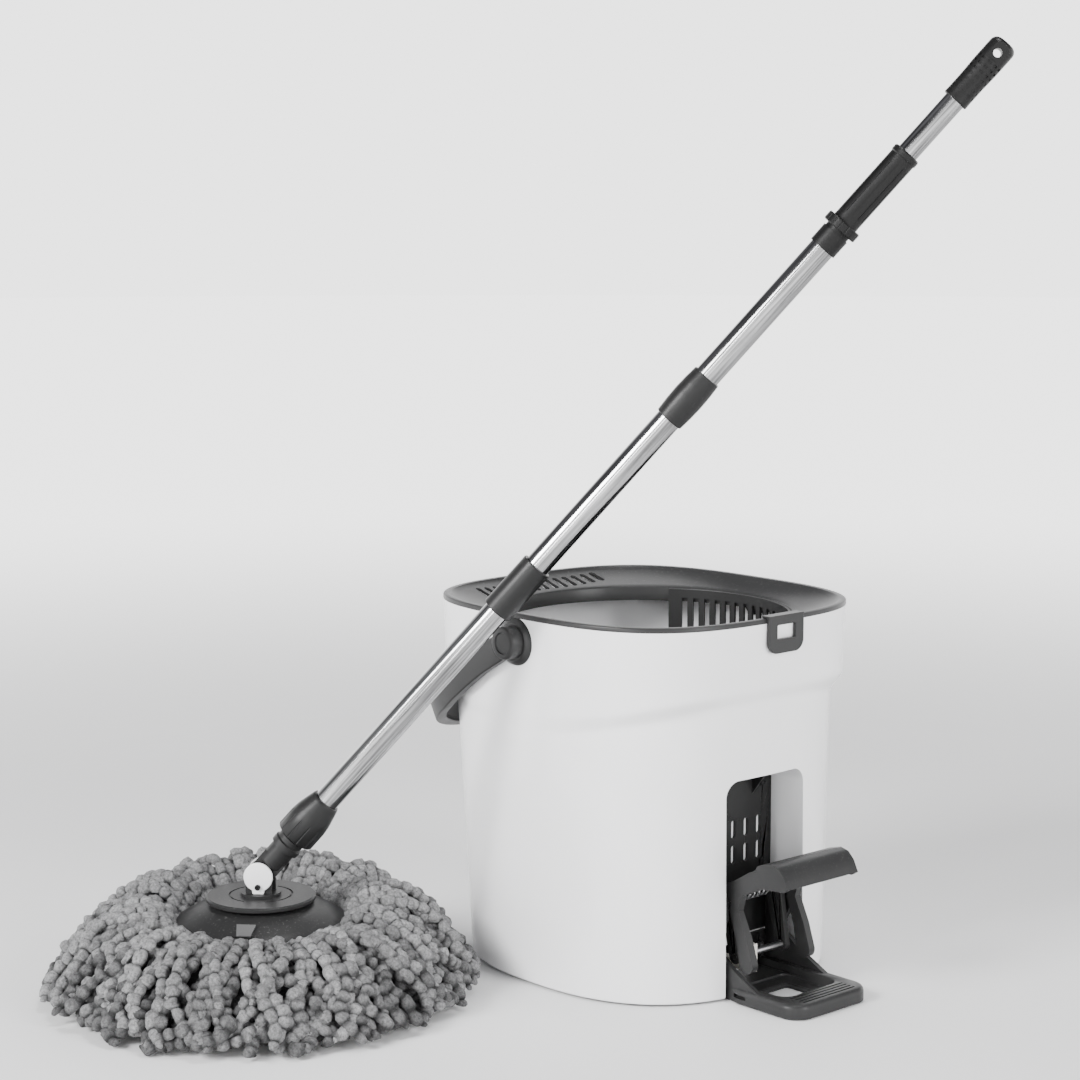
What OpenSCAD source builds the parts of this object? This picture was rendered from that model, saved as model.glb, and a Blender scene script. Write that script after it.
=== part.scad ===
// Pedal spin mop set: an oval bucket with a pedal-driven wringing basket, and a
// telescopic mop that leans in front of it. Millimetres, +Z up. The origin is on
// the floor under the wringer's spindle; +X points to the pedal.

/* [Bucket] */
// Length of the rim, along X
bucket_l = 320; // [240:1:400]
// Width of the rim, along Y
bucket_w = 299; // [240:1:380]
// Height of the rim above the floor
bucket_h = 320; // [290:1:400]
// Length of the bucket at the floor
base_l = 292; // [230:1:300]
// Width of the bucket at the floor
base_w = 276; // [220:1:285]
// How far the foot of the bucket is shifted towards the pedal
base_shift = 6; // [0:1:10]
// Thickness of the moulded walls
wall = 2.8; // [2:0.1:3.4]
// Squareness of the rim's outline (2 is an ellipse)
rim_power = 3.1; // [2.4:0.1:3.6]
// Squareness of the outline at the floor
base_power = 2.6; // [2.2:0.1:3.4]
// Squareness of the outline under the shoulder
waist_power = 2.8; // [2.4:0.1:3.1]
// Distance from the rim down to the lower edge of the shoulder
ledge_drop = 74; // [60:1:90]
// Height of the shoulder's slope
ledge_rise = 16; // [8:1:24]
// How far the body steps in below the shoulder
ledge_in = 8; // [4:0.5:10]
// How far the shoulder sinks as it runs onto the long sides
ledge_dip = 26; // [0:1:40]
// Height of the well's floor above the ground
floor_h = 40; // [39:1:44]

/* [Rim insert] */
// Width of the lip that covers the wall
lip_w = 6; // [5:0.5:9]
// Thickness of the lip
lip_t = 4; // [3:0.5:6]
// Radius of the round mouth
mouth_r = 126; // [110:1:130]
// Shift of the mouth's centre towards the pedal
mouth_x = 4; // [0:1:10]
// How far the deck falls from the lip to the mouth
deck_drop = 13; // [8:1:18]
// Number of drain slots at the handle's end
drain_count = 14; // [8:1:16]
// Height of the slotted guard below the mouth
guard_h = 44; // [30:1:50]
// Half of the arc that the guard covers
guard_half = 126; // [90:1:150]

/* [Wringer] */
// Radius of the basket at its top
basket_r = 100; // [80:1:108]
// Height of the basket
basket_h = 57; // [40:1:60]
// Distance from the rim down to the basket's top
basket_drop = 58; // [58:1:66]
// Number of slots round the basket
basket_slots = 30; // [16:1:40]
// Radius of the steel spindle
spindle_r = 5; // [4:0.5:6]
// Radius of the bushes that hold it
bush_r = 9; // [8:0.5:10]
// Running clearance on the radius of every turning fit
run_gap = 0.05; // [0.02:0.01:0.08]

/* [Pedal] */
// Width of the bay in the bucket's end
bay_w = 94; // [90:1:104]
// Height of the bay
bay_h = 185; // [170:1:190]
// Place of the bay's back wall
bay_x = 108; // [106:1:112]
// Place of the pedal's axle along X
axle_x = 132; // [130:1:136]
// Height of the pedal's axle
axle_z = 84; // [82:1:90]
// Radius of the pedal's axle
axle_r = 4; // [3:0.5:5]
// Angle that the pedal travels
press_angle = 24; // [16:1:26]
// Distance from the axle to the crossbar that pushes the rack
crank_r = 52; // [50:0.5:56]
// Width of the treadle
tread_w = 86; // [70:1:90]
// Reach of the foot plate along X
toe_x = 228; // [218:1:240]
// Height of the foot plate
foot_h = 13; // [11:0.5:16]

/* [Gears] */
// Module of the rack and the gears
gear_module = 1.5; // [1.4:0.1:1.6]
// Teeth of the rack's pinion and of the spindle's gear
pinion_teeth = 12; // [12:1:13]
// Teeth of the large gear
lay_teeth = 36; // [30:1:38]
// Play between two flanks
backlash = 0.24; // [0.15:0.01:0.4]

/* [Carrying handle] */
// Distance from the rim down to the handle's pivot
pivot_drop = 24; // [22:1:30]
// Length of the handle from its pivot to the inside of the grip
handle_in = 182; // [178:1:215]
// Thickness of the grip channel
handle_t = 11; // [8:0.5:14]
// Width of the grip channel
handle_w = 35; // [26:1:40]
// Angle of the resting handle below the horizontal
handle_hang = 29; // [20:1:32]

/* [Mop pole] */
// Outer diameter of the steel tube
tube_d = 21; // [19:0.1:24]
// Outer diameter of the sliding inner tube
inner_d = 17.4; // [15:0.1:18.4]
// Wall of the steel tubes
tube_t = 0.8; // [0.6:0.1:1]
// Distance from the hinge to the top of the outer tube
tube_top = 712; // [640:1:780]
// Distance from the hinge to the pole's tip
pole_tip = 908; // [880:1:1000]
// Length of the soft grip at the tip
grip_l = 59; // [50:1:90]
// Length of the drive grip
drive_l = 80; // [60:1:82]
// Place of the lower joint sleeve
sleeve_low = 328; // [280:1:380]
// Place of the barrel joint sleeve
sleeve_mid = 537; // [480:1:580]
// Length of a joint sleeve
sleeve_l = 50; // [30:1:60]

/* [Mop head] */
// Place of the head along X, measured from the spindle
park_x = -135; // [-160:1:-110]
// Gap between the yarn's centre and the bucket's side
park_gap = 165; // [162:1:200]
// Height of the tilting hinge above the floor
hinge_z = 100; // [98:1:112]
// Place along X where the pole passes the rim
lean_x = 9; // [0:1:30]
// Gap between the pole's centre line and the rim's side
lean_gap = 35.5; // [32:0.5:50]
// Radius of the yarn disc
yarn_r = 184; // [150:1:184]
// Radius of the head plate
plate_r = 75; // [66:1:78]
// Radius of the top disc
disc_r = 46; // [40:1:50]

/* [Hidden] */
$fn = 64;
eps = 0.01;
slip = 0.2;                 // gap between plain pieces that move past each other
ring_steps = 56;            // points round the lofted bucket wall
insert_steps = 72;          // points round the rim insert

// --- bucket outline ---------------------------------------------------------
skirt_z = 2;                // the bucket's lower edge, just off the floor
floor_z = floor_h - wall;   // underside of the well's floor
wall_top = bucket_h - lip_t;
ledge_z = bucket_h - ledge_drop;
ledge_top = ledge_z + ledge_rise;
rim_a = bucket_l / 2;
rim_b = bucket_w / 2;
taper_a = 3;                // fall of the half length from the rim to the shoulder
taper_b = 1.8;
waist_a = rim_a - taper_a - ledge_in;
waist_b = rim_b - taper_b - 1;
cover_z = 4;                // underside of the base cover
cover_t = 3;
foot_rub = 9;               // radius of a rubber foot

function sign1(v) = v < 0 ? -1 : 1;
function arc_pow(v, n) = sign1(v) * pow(abs(v), 2 / n);
function mix(a, b, t) = a + (b - a) * t;
function oval(a, b, n, cx, steps) = [for (i = [0 : steps - 1])
    let (t = 360 * i / steps) [cx + a * arc_pow(cos(t), n), b * arc_pow(sin(t), n)]];

// Half length, half width, squareness and centre of the outer wall at height z
function wall_a(z) = z >= ledge_top ? mix(rim_a - taper_a, rim_a, (z - ledge_top) / (bucket_h - ledge_top))
    : z >= ledge_z ? mix(waist_a, rim_a - taper_a, (z - ledge_z) / ledge_rise)
    : mix(base_l / 2, waist_a, z / ledge_z);
function wall_b(z) = z >= ledge_top ? mix(rim_b - taper_b, rim_b, (z - ledge_top) / (bucket_h - ledge_top))
    : z >= ledge_z ? mix(waist_b, rim_b - taper_b, (z - ledge_z) / ledge_rise)
    : mix(base_w / 2, waist_b, z / ledge_z);
function wall_n(z) = z >= ledge_top ? rim_power
    : z >= ledge_z ? mix(waist_power, rim_power, (z - ledge_z) / ledge_rise)
    : mix(base_power, waist_power, z / ledge_z);
function wall_cx(z) = z >= ledge_z ? 0 : mix(base_shift, 0, z / ledge_z);
function dip(t) = -ledge_dip * (1 - pow(abs(cos(t)), 1.2));
// One ring of the wall; sunk is 1 on the shoulder's rings, which sink at the sides
function wall_ring(z, inset, sunk) = [for (i = [0 : ring_steps - 1])
    let (t = 360 * i / ring_steps)
    [wall_cx(z) + (wall_a(z) - inset) * arc_pow(cos(t), wall_n(z)),
     (wall_b(z) - inset) * arc_pow(sin(t), wall_n(z)), z + sunk * dip(t)]];

module loft(rings) {
    n = len(rings[0]);
    m = len(rings);
    polyhedron(points = [for (r = rings) each r], faces = concat(
        [[for (i = [0 : n - 1]) i]],
        [for (j = [0 : m - 2], i = [0 : n - 1]) [j * n + i, (j + 1) * n + i, (j + 1) * n + (i + 1) % n]],
        [for (j = [0 : m - 2], i = [0 : n - 1]) [j * n + i, (j + 1) * n + (i + 1) % n, j * n + (i + 1) % n]],
        [[for (i = [0 : n - 1]) (m - 1) * n + n - 1 - i]]));
}

// --- pedal bay and wringer places --------------------------------------------
bay_y = bay_w / 2;
bay_round = 14;
tower_r = bush_r + 4;
basket_top = bucket_h - basket_drop;
basket_z = basket_top - basket_h;
tower_top = basket_z - 12;
deck_z = bucket_h - deck_drop;
skirt_h = 10;               // band that hangs from the mouth
mouth_t = 2.4;
guard_t = 2.4;
guard_r = mouth_r - 0.4 - guard_t;
panel_t = 3;
panel_x = bay_x + panel_t;
panel_low = 38;             // lower edge of the back panel, above the rack's window

// --- gear train ----------------------------------------------------------------
pitch_pin = gear_module * pinion_teeth / 2;
pitch_lay = gear_module * lay_teeth / 2;
lay_x = pitch_pin + pitch_lay;
gear_z = 9;                 // underside of the large gear
gear_t = 6;
rack_z = 18;
rack_t = 8;
rack_y = -pitch_pin;        // pitch line of the rack
post_r = 4;
pressure = 25;
function inv_angle(r, rb) = r <= rb ? 0 : let (a = acos(rb / r)) tan(a) * 180 / PI - a;
function gear_points(teeth) = let (
    rp = gear_module * teeth / 2,
    rb = rp * cos(pressure),
    ra = rp + 0.8 * gear_module,
    rf = rp - 1.05 * gear_module,
    half = 90 / teeth - backlash / 4 / rp * 180 / PI + inv_angle(rp, rb),
    radii = [rf, max(rf, rb), mix(max(rf, rb), ra, 0.33), mix(max(rf, rb), ra, 0.67), ra])
    [for (k = [0 : teeth - 1]) let (c = 360 * k / teeth) each concat(
        [for (r = radii) let (t = c - half + inv_angle(r, rb)) [r * cos(t), r * sin(t)]],
        [for (i = [4 : -1 : 0]) let (r = radii[i], t = c + half - inv_angle(r, rb)) [r * cos(t), r * sin(t)]])];

// --- pedal linkage ---------------------------------------------------------------
bar_r = 3;
bar_x = axle_x + crank_r * sin(press_angle / 2);
bar_z = axle_z - crank_r * cos(press_angle / 2);
rail_y = bay_y - 3.5;       // outer face of the foot plate's side rails
rail_t = 4.5;
arm_y = rail_y - rail_t - 0.5;
arm_t = 7;
crank_y = arm_y - arm_t - 0.5;
crank_t = 5;

// --- handle ------------------------------------------------------------------------
pivot_z = bucket_h - pivot_drop;
handle_y = rim_b + 3;       // inner face of the arms
arm_side = 7;
handle_out = handle_in + handle_t;
hub_r = 16;
pin_r = 6;
spot_y = rim_b - 1.6;       // flat spot on the wall behind the bush

// --- mop frame ---------------------------------------------------------------------
hinge_p = [park_x, -rim_b - park_gap, hinge_z];
lean_p = [lean_x, -rim_b - lean_gap, bucket_h];
run = lean_p - hinge_p;
heading = atan2(run[1], run[0]);
lean = atan2(norm([run[0], run[1]]), run[2]);
tube_r = tube_d / 2;
inner_r = inner_d / 2;
neck_r = 10.8;
collar_lo = 45;
collar_hi = 86;
tongue_y = 6.2;
cheek_in = tongue_y + slip;
cheek_t = 3;
ear_y = cheek_in + cheek_t;
ear_t = 2.5;
hinge_r = 4;
disc_z = -17;               // top of the disc, below the hinge
stem_r = 9;
grip_flat = 9.5;
hole_r = 3.5;
hole_s = pole_tip - 11;
inner_low = tube_top - 330;  // lower end of the sliding tube
cam_l = 20;

// Parts of the pole are drawn along +Z from the hinge, parts of the head upright
module on_pole() { translate(hinge_p) rotate([0, 0, heading]) rotate([0, lean, 0]) children(); }
module on_head() { translate(hinge_p) rotate([0, 0, heading]) children(); }
// A flat plate from an outline in X and Z, standing from y0 to y0 + t
module plate_xz(y0, t) { translate([0, y0 + t, 0]) rotate([90, 0, 0]) linear_extrude(t) children(); }
module rod_y(x, z, r, y0, y1) { translate([x, y1, z]) rotate([90, 0, 0]) cylinder(r = r, h = y1 - y0); }
module tube(r_out, r_in, z0, z1) {
    translate([0, 0, z0]) difference() {
        cylinder(r = r_out, h = z1 - z0);
        translate([0, 0, -1]) cylinder(r = r_in, h = z1 - z0 + 2);
    }
}
module link(p, q, r1, r2) {
    hull() {
        translate(p) circle(r1, $fn = 32);
        translate(q) circle(r2, $fn = 32);
    }
}
// A countersunk screw along -Z with its head's top at the origin
module screw(head_r, shank_r, length) {
    difference() {
        union() {
            cylinder(r = head_r, h = 2);
            translate([0, 0, -length]) cylinder(r = shank_r, h = length + 1);
        }
        for (a = [0, 90]) rotate([0, 0, a]) translate([-head_r * 0.6, -0.5, 1]) cube([head_r * 1.2, 1, 2]);
    }
}

// ================================ bucket ========================================
module outer_body() {
    loft([wall_ring(skirt_z, 0, 0), wall_ring(ledge_z * 0.25, 0, 0), wall_ring(ledge_z * 0.5, 0, 0),
        wall_ring(ledge_z * 0.75, 0, 0), wall_ring(ledge_z, 0, 1), wall_ring(ledge_z + ledge_rise / 2, 0, 1),
        wall_ring(ledge_top, 0, 1), wall_ring(ledge_top + 10, 0, 0.6), wall_ring(wall_top, 0, 0)]);
}
module well_space() {
    loft([wall_ring(floor_h, wall, 0), wall_ring(ledge_z * 0.5, wall, 0), wall_ring(ledge_z * 0.75, wall, 0),
        wall_ring(ledge_z, wall, 1), wall_ring(ledge_top, wall, 1), wall_ring(wall_top + 5, wall, 0)]);
}
module under_space() {
    loft([wall_ring(-1, wall, 0), wall_ring(floor_z, wall, 0)]);
}
boss_at = [[-98, -78], [-98, 78], [-40, -110], [-40, 110], [72, -100], [72, 100]];
module bay(grow) {
    x0 = bay_x - grow;
    translate([x0, -bay_y - grow, -5]) cube([rim_a + 10 - x0, bay_w + 2 * grow, bay_h + 5 + grow - bay_round]);
    translate([x0, -bay_y - grow + bay_round, 0])
        cube([rim_a + 10 - x0, bay_w + 2 * grow - 2 * bay_round, bay_h + grow]);
    for (s = [-1, 1]) translate([x0, s * (bay_y + grow - bay_round), bay_h + grow - bay_round])
        rotate([0, 90, 0]) cylinder(r = bay_round, h = rim_a + 10 - x0);
}
module bucket_shell() color("white") difference() {
    outer_body();
    difference() {
        well_space();
        bay(wall);
        translate([0, 0, floor_z]) cylinder(r = tower_r, h = tower_top - floor_z);
    }
    difference() {
        under_space();
        bay(wall);
        for (p = boss_at) translate([p[0], p[1], cover_z + cover_t]) cylinder(r = 6, h = floor_z);
    }
    bay(0);
    // bore for the spindle's bushes
    translate([0, 0, floor_z - 1]) cylinder(r = bush_r, h = tower_top - floor_z + 2);
    // screw holes for the base cover
    for (p = boss_at) translate([p[0], p[1], cover_z]) cylinder(r = 1.8, h = 22);
    // window for the rack in the bay's back wall
    translate([bay_x - wall - 1, rack_y - 13, rack_z - 4]) cube([wall + 2, 26, rack_t + 8]);
    // holes and flat spots for the handle's bushes
    for (s = [-1, 1]) {
        rod_y(0, pivot_z, hub_r - 6, min(s * (spot_y - 12), s * (spot_y + 12)), max(s * (spot_y - 12), s * (spot_y + 12)));
        rod_y(0, pivot_z, hub_r + 5, min(s * spot_y, s * (spot_y + 9)), max(s * spot_y, s * (spot_y + 9)));
    }
    // screw holes behind the back panel and the foot plate
    for (s = [-1, 1], z = [98, bay_h - 18]) translate([bay_x - wall - 1, s * (bay_y - 12), z])
        rotate([0, 90, 0]) cylinder(r = 1.6, h = wall + 2);
    for (s = [-1, 1]) translate([bay_x - wall - 1, s * (bay_y - 14), 24])
        rotate([0, 90, 0]) cylinder(r = 2, h = wall + 2);
}

function circle_ring(r, z) = [for (i = [0 : insert_steps - 1]) let (t = 360 * i / insert_steps)
    [mouth_x + r * cos(t), r * sin(t), z]];
function lip_ring(inset, z) = [for (p = oval(rim_a - inset, rim_b - inset, rim_power, 0, insert_steps)) [p[0], p[1], z]];
module closed_loft(rings) {
    n = len(rings[0]);
    m = len(rings);
    polyhedron(points = [for (r = rings) each r], faces = [for (j = [0 : m - 1], i = [0 : n - 1], h = [0, 1])
        let (k = (j + 1) % m, i2 = (i + 1) % n)
        h == 0 ? [j * n + i, k * n + i, k * n + i2] : [j * n + i, k * n + i2, j * n + i2]]);
}
module rim_insert() color([0.28, 0.28, 0.29]) difference() {
    // lip over the wall, deck that slopes to the mouth, and the band that hangs from it
    closed_loft([lip_ring(0, wall_top), lip_ring(0, bucket_h - 0.8), lip_ring(0.8, bucket_h),
        lip_ring(lip_w - 0.8, bucket_h), lip_ring(lip_w, bucket_h - 0.8),
        circle_ring(mouth_r, deck_z), circle_ring(mouth_r, deck_z - mouth_t - skirt_h),
        circle_ring(mouth_r + mouth_t, deck_z - mouth_t - skirt_h), circle_ring(mouth_r + mouth_t, deck_z - mouth_t),
        lip_ring(lip_w + 0.5, wall_top)]);
    // drain slots across the deck at the handle's end
    for (i = [0 : drain_count - 1]) let (y = (i - (drain_count - 1) / 2) * 10.6)
        translate([-rim_a + 12 + abs(y) * 0.09, y - 3, deck_z - 10]) cube([19.5, 6, 40]);
}

module splash_guard() color([0.2, 0.2, 0.21]) {
    z0 = deck_z - guard_h;
    pitch = 5;
    difference() {
        translate([mouth_x, 0, 0]) tube(guard_r + guard_t, guard_r, z0, deck_z - 1);
        // open sector at the handle's end
        translate([mouth_x, 0, z0 - 1]) linear_extrude(guard_h + 2) polygon([[0, 0],
            [2 * mouth_r * cos(guard_half), 2 * mouth_r * sin(guard_half)], [-3 * mouth_r, 2 * mouth_r],
            [-3 * mouth_r, -2 * mouth_r], [2 * mouth_r * cos(guard_half), -2 * mouth_r * sin(guard_half)]]);
        for (a = [-guard_half + pitch : pitch : guard_half - pitch / 2]) translate([mouth_x, 0, 0])
            rotate([0, 0, a]) translate([guard_r - 2, -2.6, z0 + 5]) cube([guard_t + 4, 5.2, guard_h - 14]);
    }
}

clip_y = 6;
module rim_clip() color([0.22, 0.22, 0.23]) {
    h = 30;
    w = 42;
    translate([rim_a, clip_y, bucket_h]) {
        difference() {
            union() {
                translate([0, -w / 2, -h + 10]) cube([3.4, w, h - 10]);
                for (s = [-1, 1]) translate([0, s * (w / 2 - 10), -h + 10])
                    rotate([0, 90, 0]) cylinder(r = 10, h = 3.4);
                translate([0, -w / 2 + 10, -h]) cube([3.4, w - 20, 12]);
            }
            translate([-1, -11, -18]) cube([6, 22, 12]);
        }
        translate([-lip_w, -w / 2, 0]) cube([lip_w + 3.4, w, 2]);
    }
}

module handle_bushes() color([0.25, 0.25, 0.26]) for (s = [-1, 1]) mirror([0, s < 0 ? 1 : 0, 0])
    translate([0, 0, pivot_z]) rotate([-90, 0, 0]) difference() {
        rotate_extrude() polygon([[0, spot_y - 9], [hub_r - 6, spot_y - 9], [hub_r - 6, spot_y], [hub_r + 4.5, spot_y],
            [hub_r + 3.5, spot_y + 2], [hub_r, handle_y - slip], [0, handle_y - slip]]);
        translate([0, 0, spot_y - 10]) cylinder(r = pin_r + run_gap, h = 40);
        // clear of the lip above
        translate([-40, -40, 0]) cube([80, 40 - (wall_top - pivot_z), rim_b + slip]);
    }

module back_panel() color([0.2, 0.2, 0.21]) difference() {
    union() {
        translate([bay_x, -bay_y + 0.5, panel_low]) cube([panel_t, bay_w - 1, bay_h - panel_low - bay_round]);
        translate([bay_x, -bay_y + bay_round, panel_low]) cube([panel_t, bay_w - 2 * bay_round, bay_h - panel_low - 0.5]);
        // gussets in the top corners
        for (s = [-1, 1]) plate_xz(s * (bay_y - 24) - 1, 2)
            polygon([[panel_x, bay_h - 26], [panel_x + 16, bay_h - 6], [panel_x, bay_h - 6]]);
    }
    for (row = [0, 1], i = [-2 : 2]) translate([bay_x - 1, i * 15.4, 109 + 22 * row]) {
        translate([0, -2.5, -5.5]) cube([panel_t + 2, 5, 11]);
        for (s = [-1, 1]) translate([0, 0, s * 5.5]) rotate([0, 90, 0]) cylinder(r = 2.5, h = panel_t + 2);
    }
    for (s = [-1, 1], z = [98, bay_h - 18]) translate([bay_x - 1, s * (bay_y - 12), z])
        rotate([0, 90, 0]) cylinder(r = 1.6, h = panel_t + 2);
}

module panel_screws() color("silver") for (s = [-1, 1], z = [98, bay_h - 18])
    translate([panel_x, s * (bay_y - 12), z]) rotate([0, 90, 0]) screw(3.2, 1.6, 7);

foot_at = [[-108, -62], [-108, 62], [62, -108], [62, 108]];
module base_cover() color([0.3, 0.3, 0.31]) {
    z1 = cover_z + cover_t;
    difference() {
        intersection() {
            translate([0, 0, cover_z]) linear_extrude(cover_t)
                polygon([for (p = wall_ring(cover_z, wall + 0.6, 0)) [p[0], p[1]]]);
            translate([-300, -300, 0]) cube([300 + bay_x - wall - 0.6, 600, 20]);
        }
        for (p = boss_at) translate([p[0], p[1], 0]) cylinder(r = 1.8, h = 20);
        for (p = concat(foot_at, [[0, 0]])) translate([p[0], p[1], 0]) cylinder(r = 4, h = 20);
        translate([lay_x, 0, 0]) cylinder(r = post_r, h = 20);
    }
    // low wall round the gear train
    translate([0, 0, z1]) tube(pitch_pin + 5, pitch_pin + 3, 0, 1.5);
}

module cover_screws() color("silver") for (p = boss_at)
    translate([p[0], p[1], cover_z]) rotate([180, 0, 0]) screw(3.6, 1.8, 18);

// The centre foot carries the load under the spindle
module rubber_feet() color([0.12, 0.12, 0.12]) for (p = concat(foot_at, [[0, 0]]))
    translate([p[0], p[1], 0]) {
        cylinder(r = p[0] == 0 ? 2 * foot_rub : foot_rub, h = cover_z);
        cylinder(r = 4, h = cover_z + cover_t);
    }

module spindle_bushes() color([0.85, 0.83, 0.75]) {
    tube(bush_r, spindle_r + run_gap, floor_z, floor_z + 14);
    tube(bush_r, spindle_r + run_gap, tower_top - 16, tower_top - 2);
}

module shaft_seal() color([0.1, 0.1, 0.1]) tube(tower_r + 2, spindle_r + run_gap, tower_top + 0.2, tower_top + 3.5);

module lay_post() color("silver") translate([lay_x, 0, 0]) {
    translate([0, 0, cover_z]) cylinder(r = post_r, h = rack_z + rack_t + 6 - cover_z);
    translate([0, 0, cover_z + cover_t]) cylinder(r = 6, h = gear_z - cover_z - cover_t - slip);
}

module rack_guide() color([0.3, 0.3, 0.31]) {
    y0 = rack_y - 1.05 * gear_module - 7;
    z1 = cover_z + cover_t;
    for (x = [74, 92]) translate([x, 0, 0]) difference() {
        translate([0, y0 - 3, z1]) cube([9, 19, rack_z + rack_t + 3 - z1]);
        translate([-1, y0 - slip, rack_z - slip]) cube([11, 9 + 7, rack_t + 2 * slip]);
    }
}

// ================================ handle ========================================
module handle() color([0.22, 0.22, 0.23]) translate([0, 0, pivot_z]) rotate([0, -handle_hang, 0]) {
    steps = 64;
    difference() {
        intersection() {
            translate([0, 0, -handle_w / 2]) linear_extrude(handle_w) difference() {
                polygon(oval(handle_out, handle_y + arm_side, 3.2, 0, steps));
                polygon(oval(handle_in, handle_y, 3.2, 0, steps));
                translate([0, -300]) square([600, 600]);
            }
            // side view: narrow at the hubs, full width at the grip
            plate_xz(-300, 600) polygon([[0, 11], [0, -11], [-40, -11.5], [-110, -handle_w / 2],
                [-handle_out - 1, -handle_w / 2], [-handle_out - 1, handle_w / 2], [-110, handle_w / 2], [-40, 11.5]]);
        }
        // the grip is a channel that opens towards the bucket
        translate([0, 0, -handle_w / 2 + 3.5]) linear_extrude(handle_w - 7) difference() {
            polygon(oval(handle_out - 3.2, handle_y + arm_side - 3.2, 3.2, 0, steps));
            translate([-100, -300]) square([600, 600]);
        }
    }
    for (s = [-1, 1]) mirror([0, s < 0 ? 1 : 0, 0]) {
        rod_y(0, 0, hub_r - 2, handle_y, handle_y + arm_side + 4);
        rod_y(0, 0, pin_r, spot_y - 8, handle_y + 1);
    }
}

// ================================ pedal bay =====================================
module foot_outline(inset) {
    r = 18 - inset;
    y = rail_y + 3 - inset;
    x1 = toe_x - inset;
    polygon(concat([[150, -rail_y + inset], [162, -y]],
        [for (a = [-90 : 10 : 0]) [x1 - r + r * cos(a), -y + r + r * sin(a)]],
        [for (a = [0 : 10 : 90]) [x1 - r + r * cos(a), y - r + r * sin(a)]],
        [[162, y], [150, rail_y - inset], [panel_x, rail_y - inset], [panel_x, -rail_y + inset]]));
}
module pedal_base() color([0.27, 0.27, 0.28]) difference() {
    union() {
        linear_extrude(foot_h) foot_outline(0);
        // rails that carry the axle
        for (s = [-1, 1]) plate_xz(s > 0 ? rail_y - rail_t : -rail_y, rail_t) {
            polygon([[panel_x + 1, 2], [panel_x + 1, axle_z - 4], [axle_x - 10, axle_z + 2], [axle_x + 10, axle_z + 2],
                [axle_x + 12, axle_z - 16], [axle_x + 2, axle_z - 34], [axle_x + 5, 38], [axle_x + 24, 25],
                [axle_x + 50, foot_h - 1], [axle_x + 50, 2]]);
            translate([axle_x, axle_z]) circle(10);
        }
        // back flange on the bay's wall
        for (s = [-1, 1]) translate([bay_x + 0.2, s * (bay_y - 14) - 9, 2]) cube([3.6, 18, 34]);
    }
    // hollow underside and the recess round the window
    translate([0, 0, -1]) linear_extrude(foot_h - 3 + 1 - 3.5) difference() {
        foot_outline(3);
        translate([139, -36]) square([66, 72]);
    }
    translate([142, -33, foot_h - 8.5]) cube([60, 66, 15]);
    translate([panel_x - 1, -crank_y - 2, foot_h - 6.5]) cube([50, 2 * crank_y + 4, 20]);
    translate([159, -17, -2]) cube([34, 34, 30]);
    // grip grooves along the toe
    for (x = [206.5, 211, 215.5, 220]) translate([x, -rail_y + 12, foot_h - 1.2]) cube([1.8, 2 * rail_y - 24, 3]);
    // slot in the side rails
    for (s = [-1, 1]) translate([156, s * (rail_y + 1) - 3, 5]) cube([14, 6, 3.5]);
    rod_y(axle_x, axle_z, axle_r, -60, 60);
    for (s = [-1, 1]) translate([bay_x - 1, s * (bay_y - 14), 24]) rotate([0, 90, 0]) cylinder(r = 2, h = 8);
}

module pedal_base_screws() color("silver") for (s = [-1, 1])
    translate([bay_x + 3.8, s * (bay_y - 14), 24]) rotate([0, 90, 0]) screw(3.6, 2, 8);

module pedal_axle() color("silver") rod_y(axle_x, axle_z, axle_r, -rail_y - 1.6, rail_y + 1.6);

module axle_clips() color([0.5, 0.5, 0.52]) for (s = [-1, 1]) translate([axle_x, s * (rail_y + 0.6), axle_z])
    rotate([90, 0, 0]) difference() {
        cylinder(r = axle_r + 2.4, h = 0.9, center = true);
        cylinder(r = axle_r, h = 2, center = true);
        translate([0, -1.5, -1]) cube([10, 3, 2]);
    }

// Torsion spring round the axle: a coil with one leg down to the foot plate
spring_r = 7.2;
wire_r = 1.1;
spring_turns = 6;
spring_half = 17;
function spring_point(k, n) = let (t = k / n, a = 360 * spring_turns * t)
    [axle_x + spring_r * cos(a + 180), mix(-spring_half, spring_half, t), axle_z + spring_r * sin(a + 180)];
module return_spring() color([0.6, 0.6, 0.62]) {
    n = 84;
    sides = 6;
    rings = [for (k = [0 : n]) let (p = spring_point(k, n), q = [p[0] - axle_x, 0, p[2] - axle_z] / spring_r)
        [for (i = [0 : sides - 1]) let (b = -360 * i / sides)
            p + q * wire_r * cos(b) + [0, wire_r * sin(b), 0]]];
    loft(rings);
}

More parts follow.
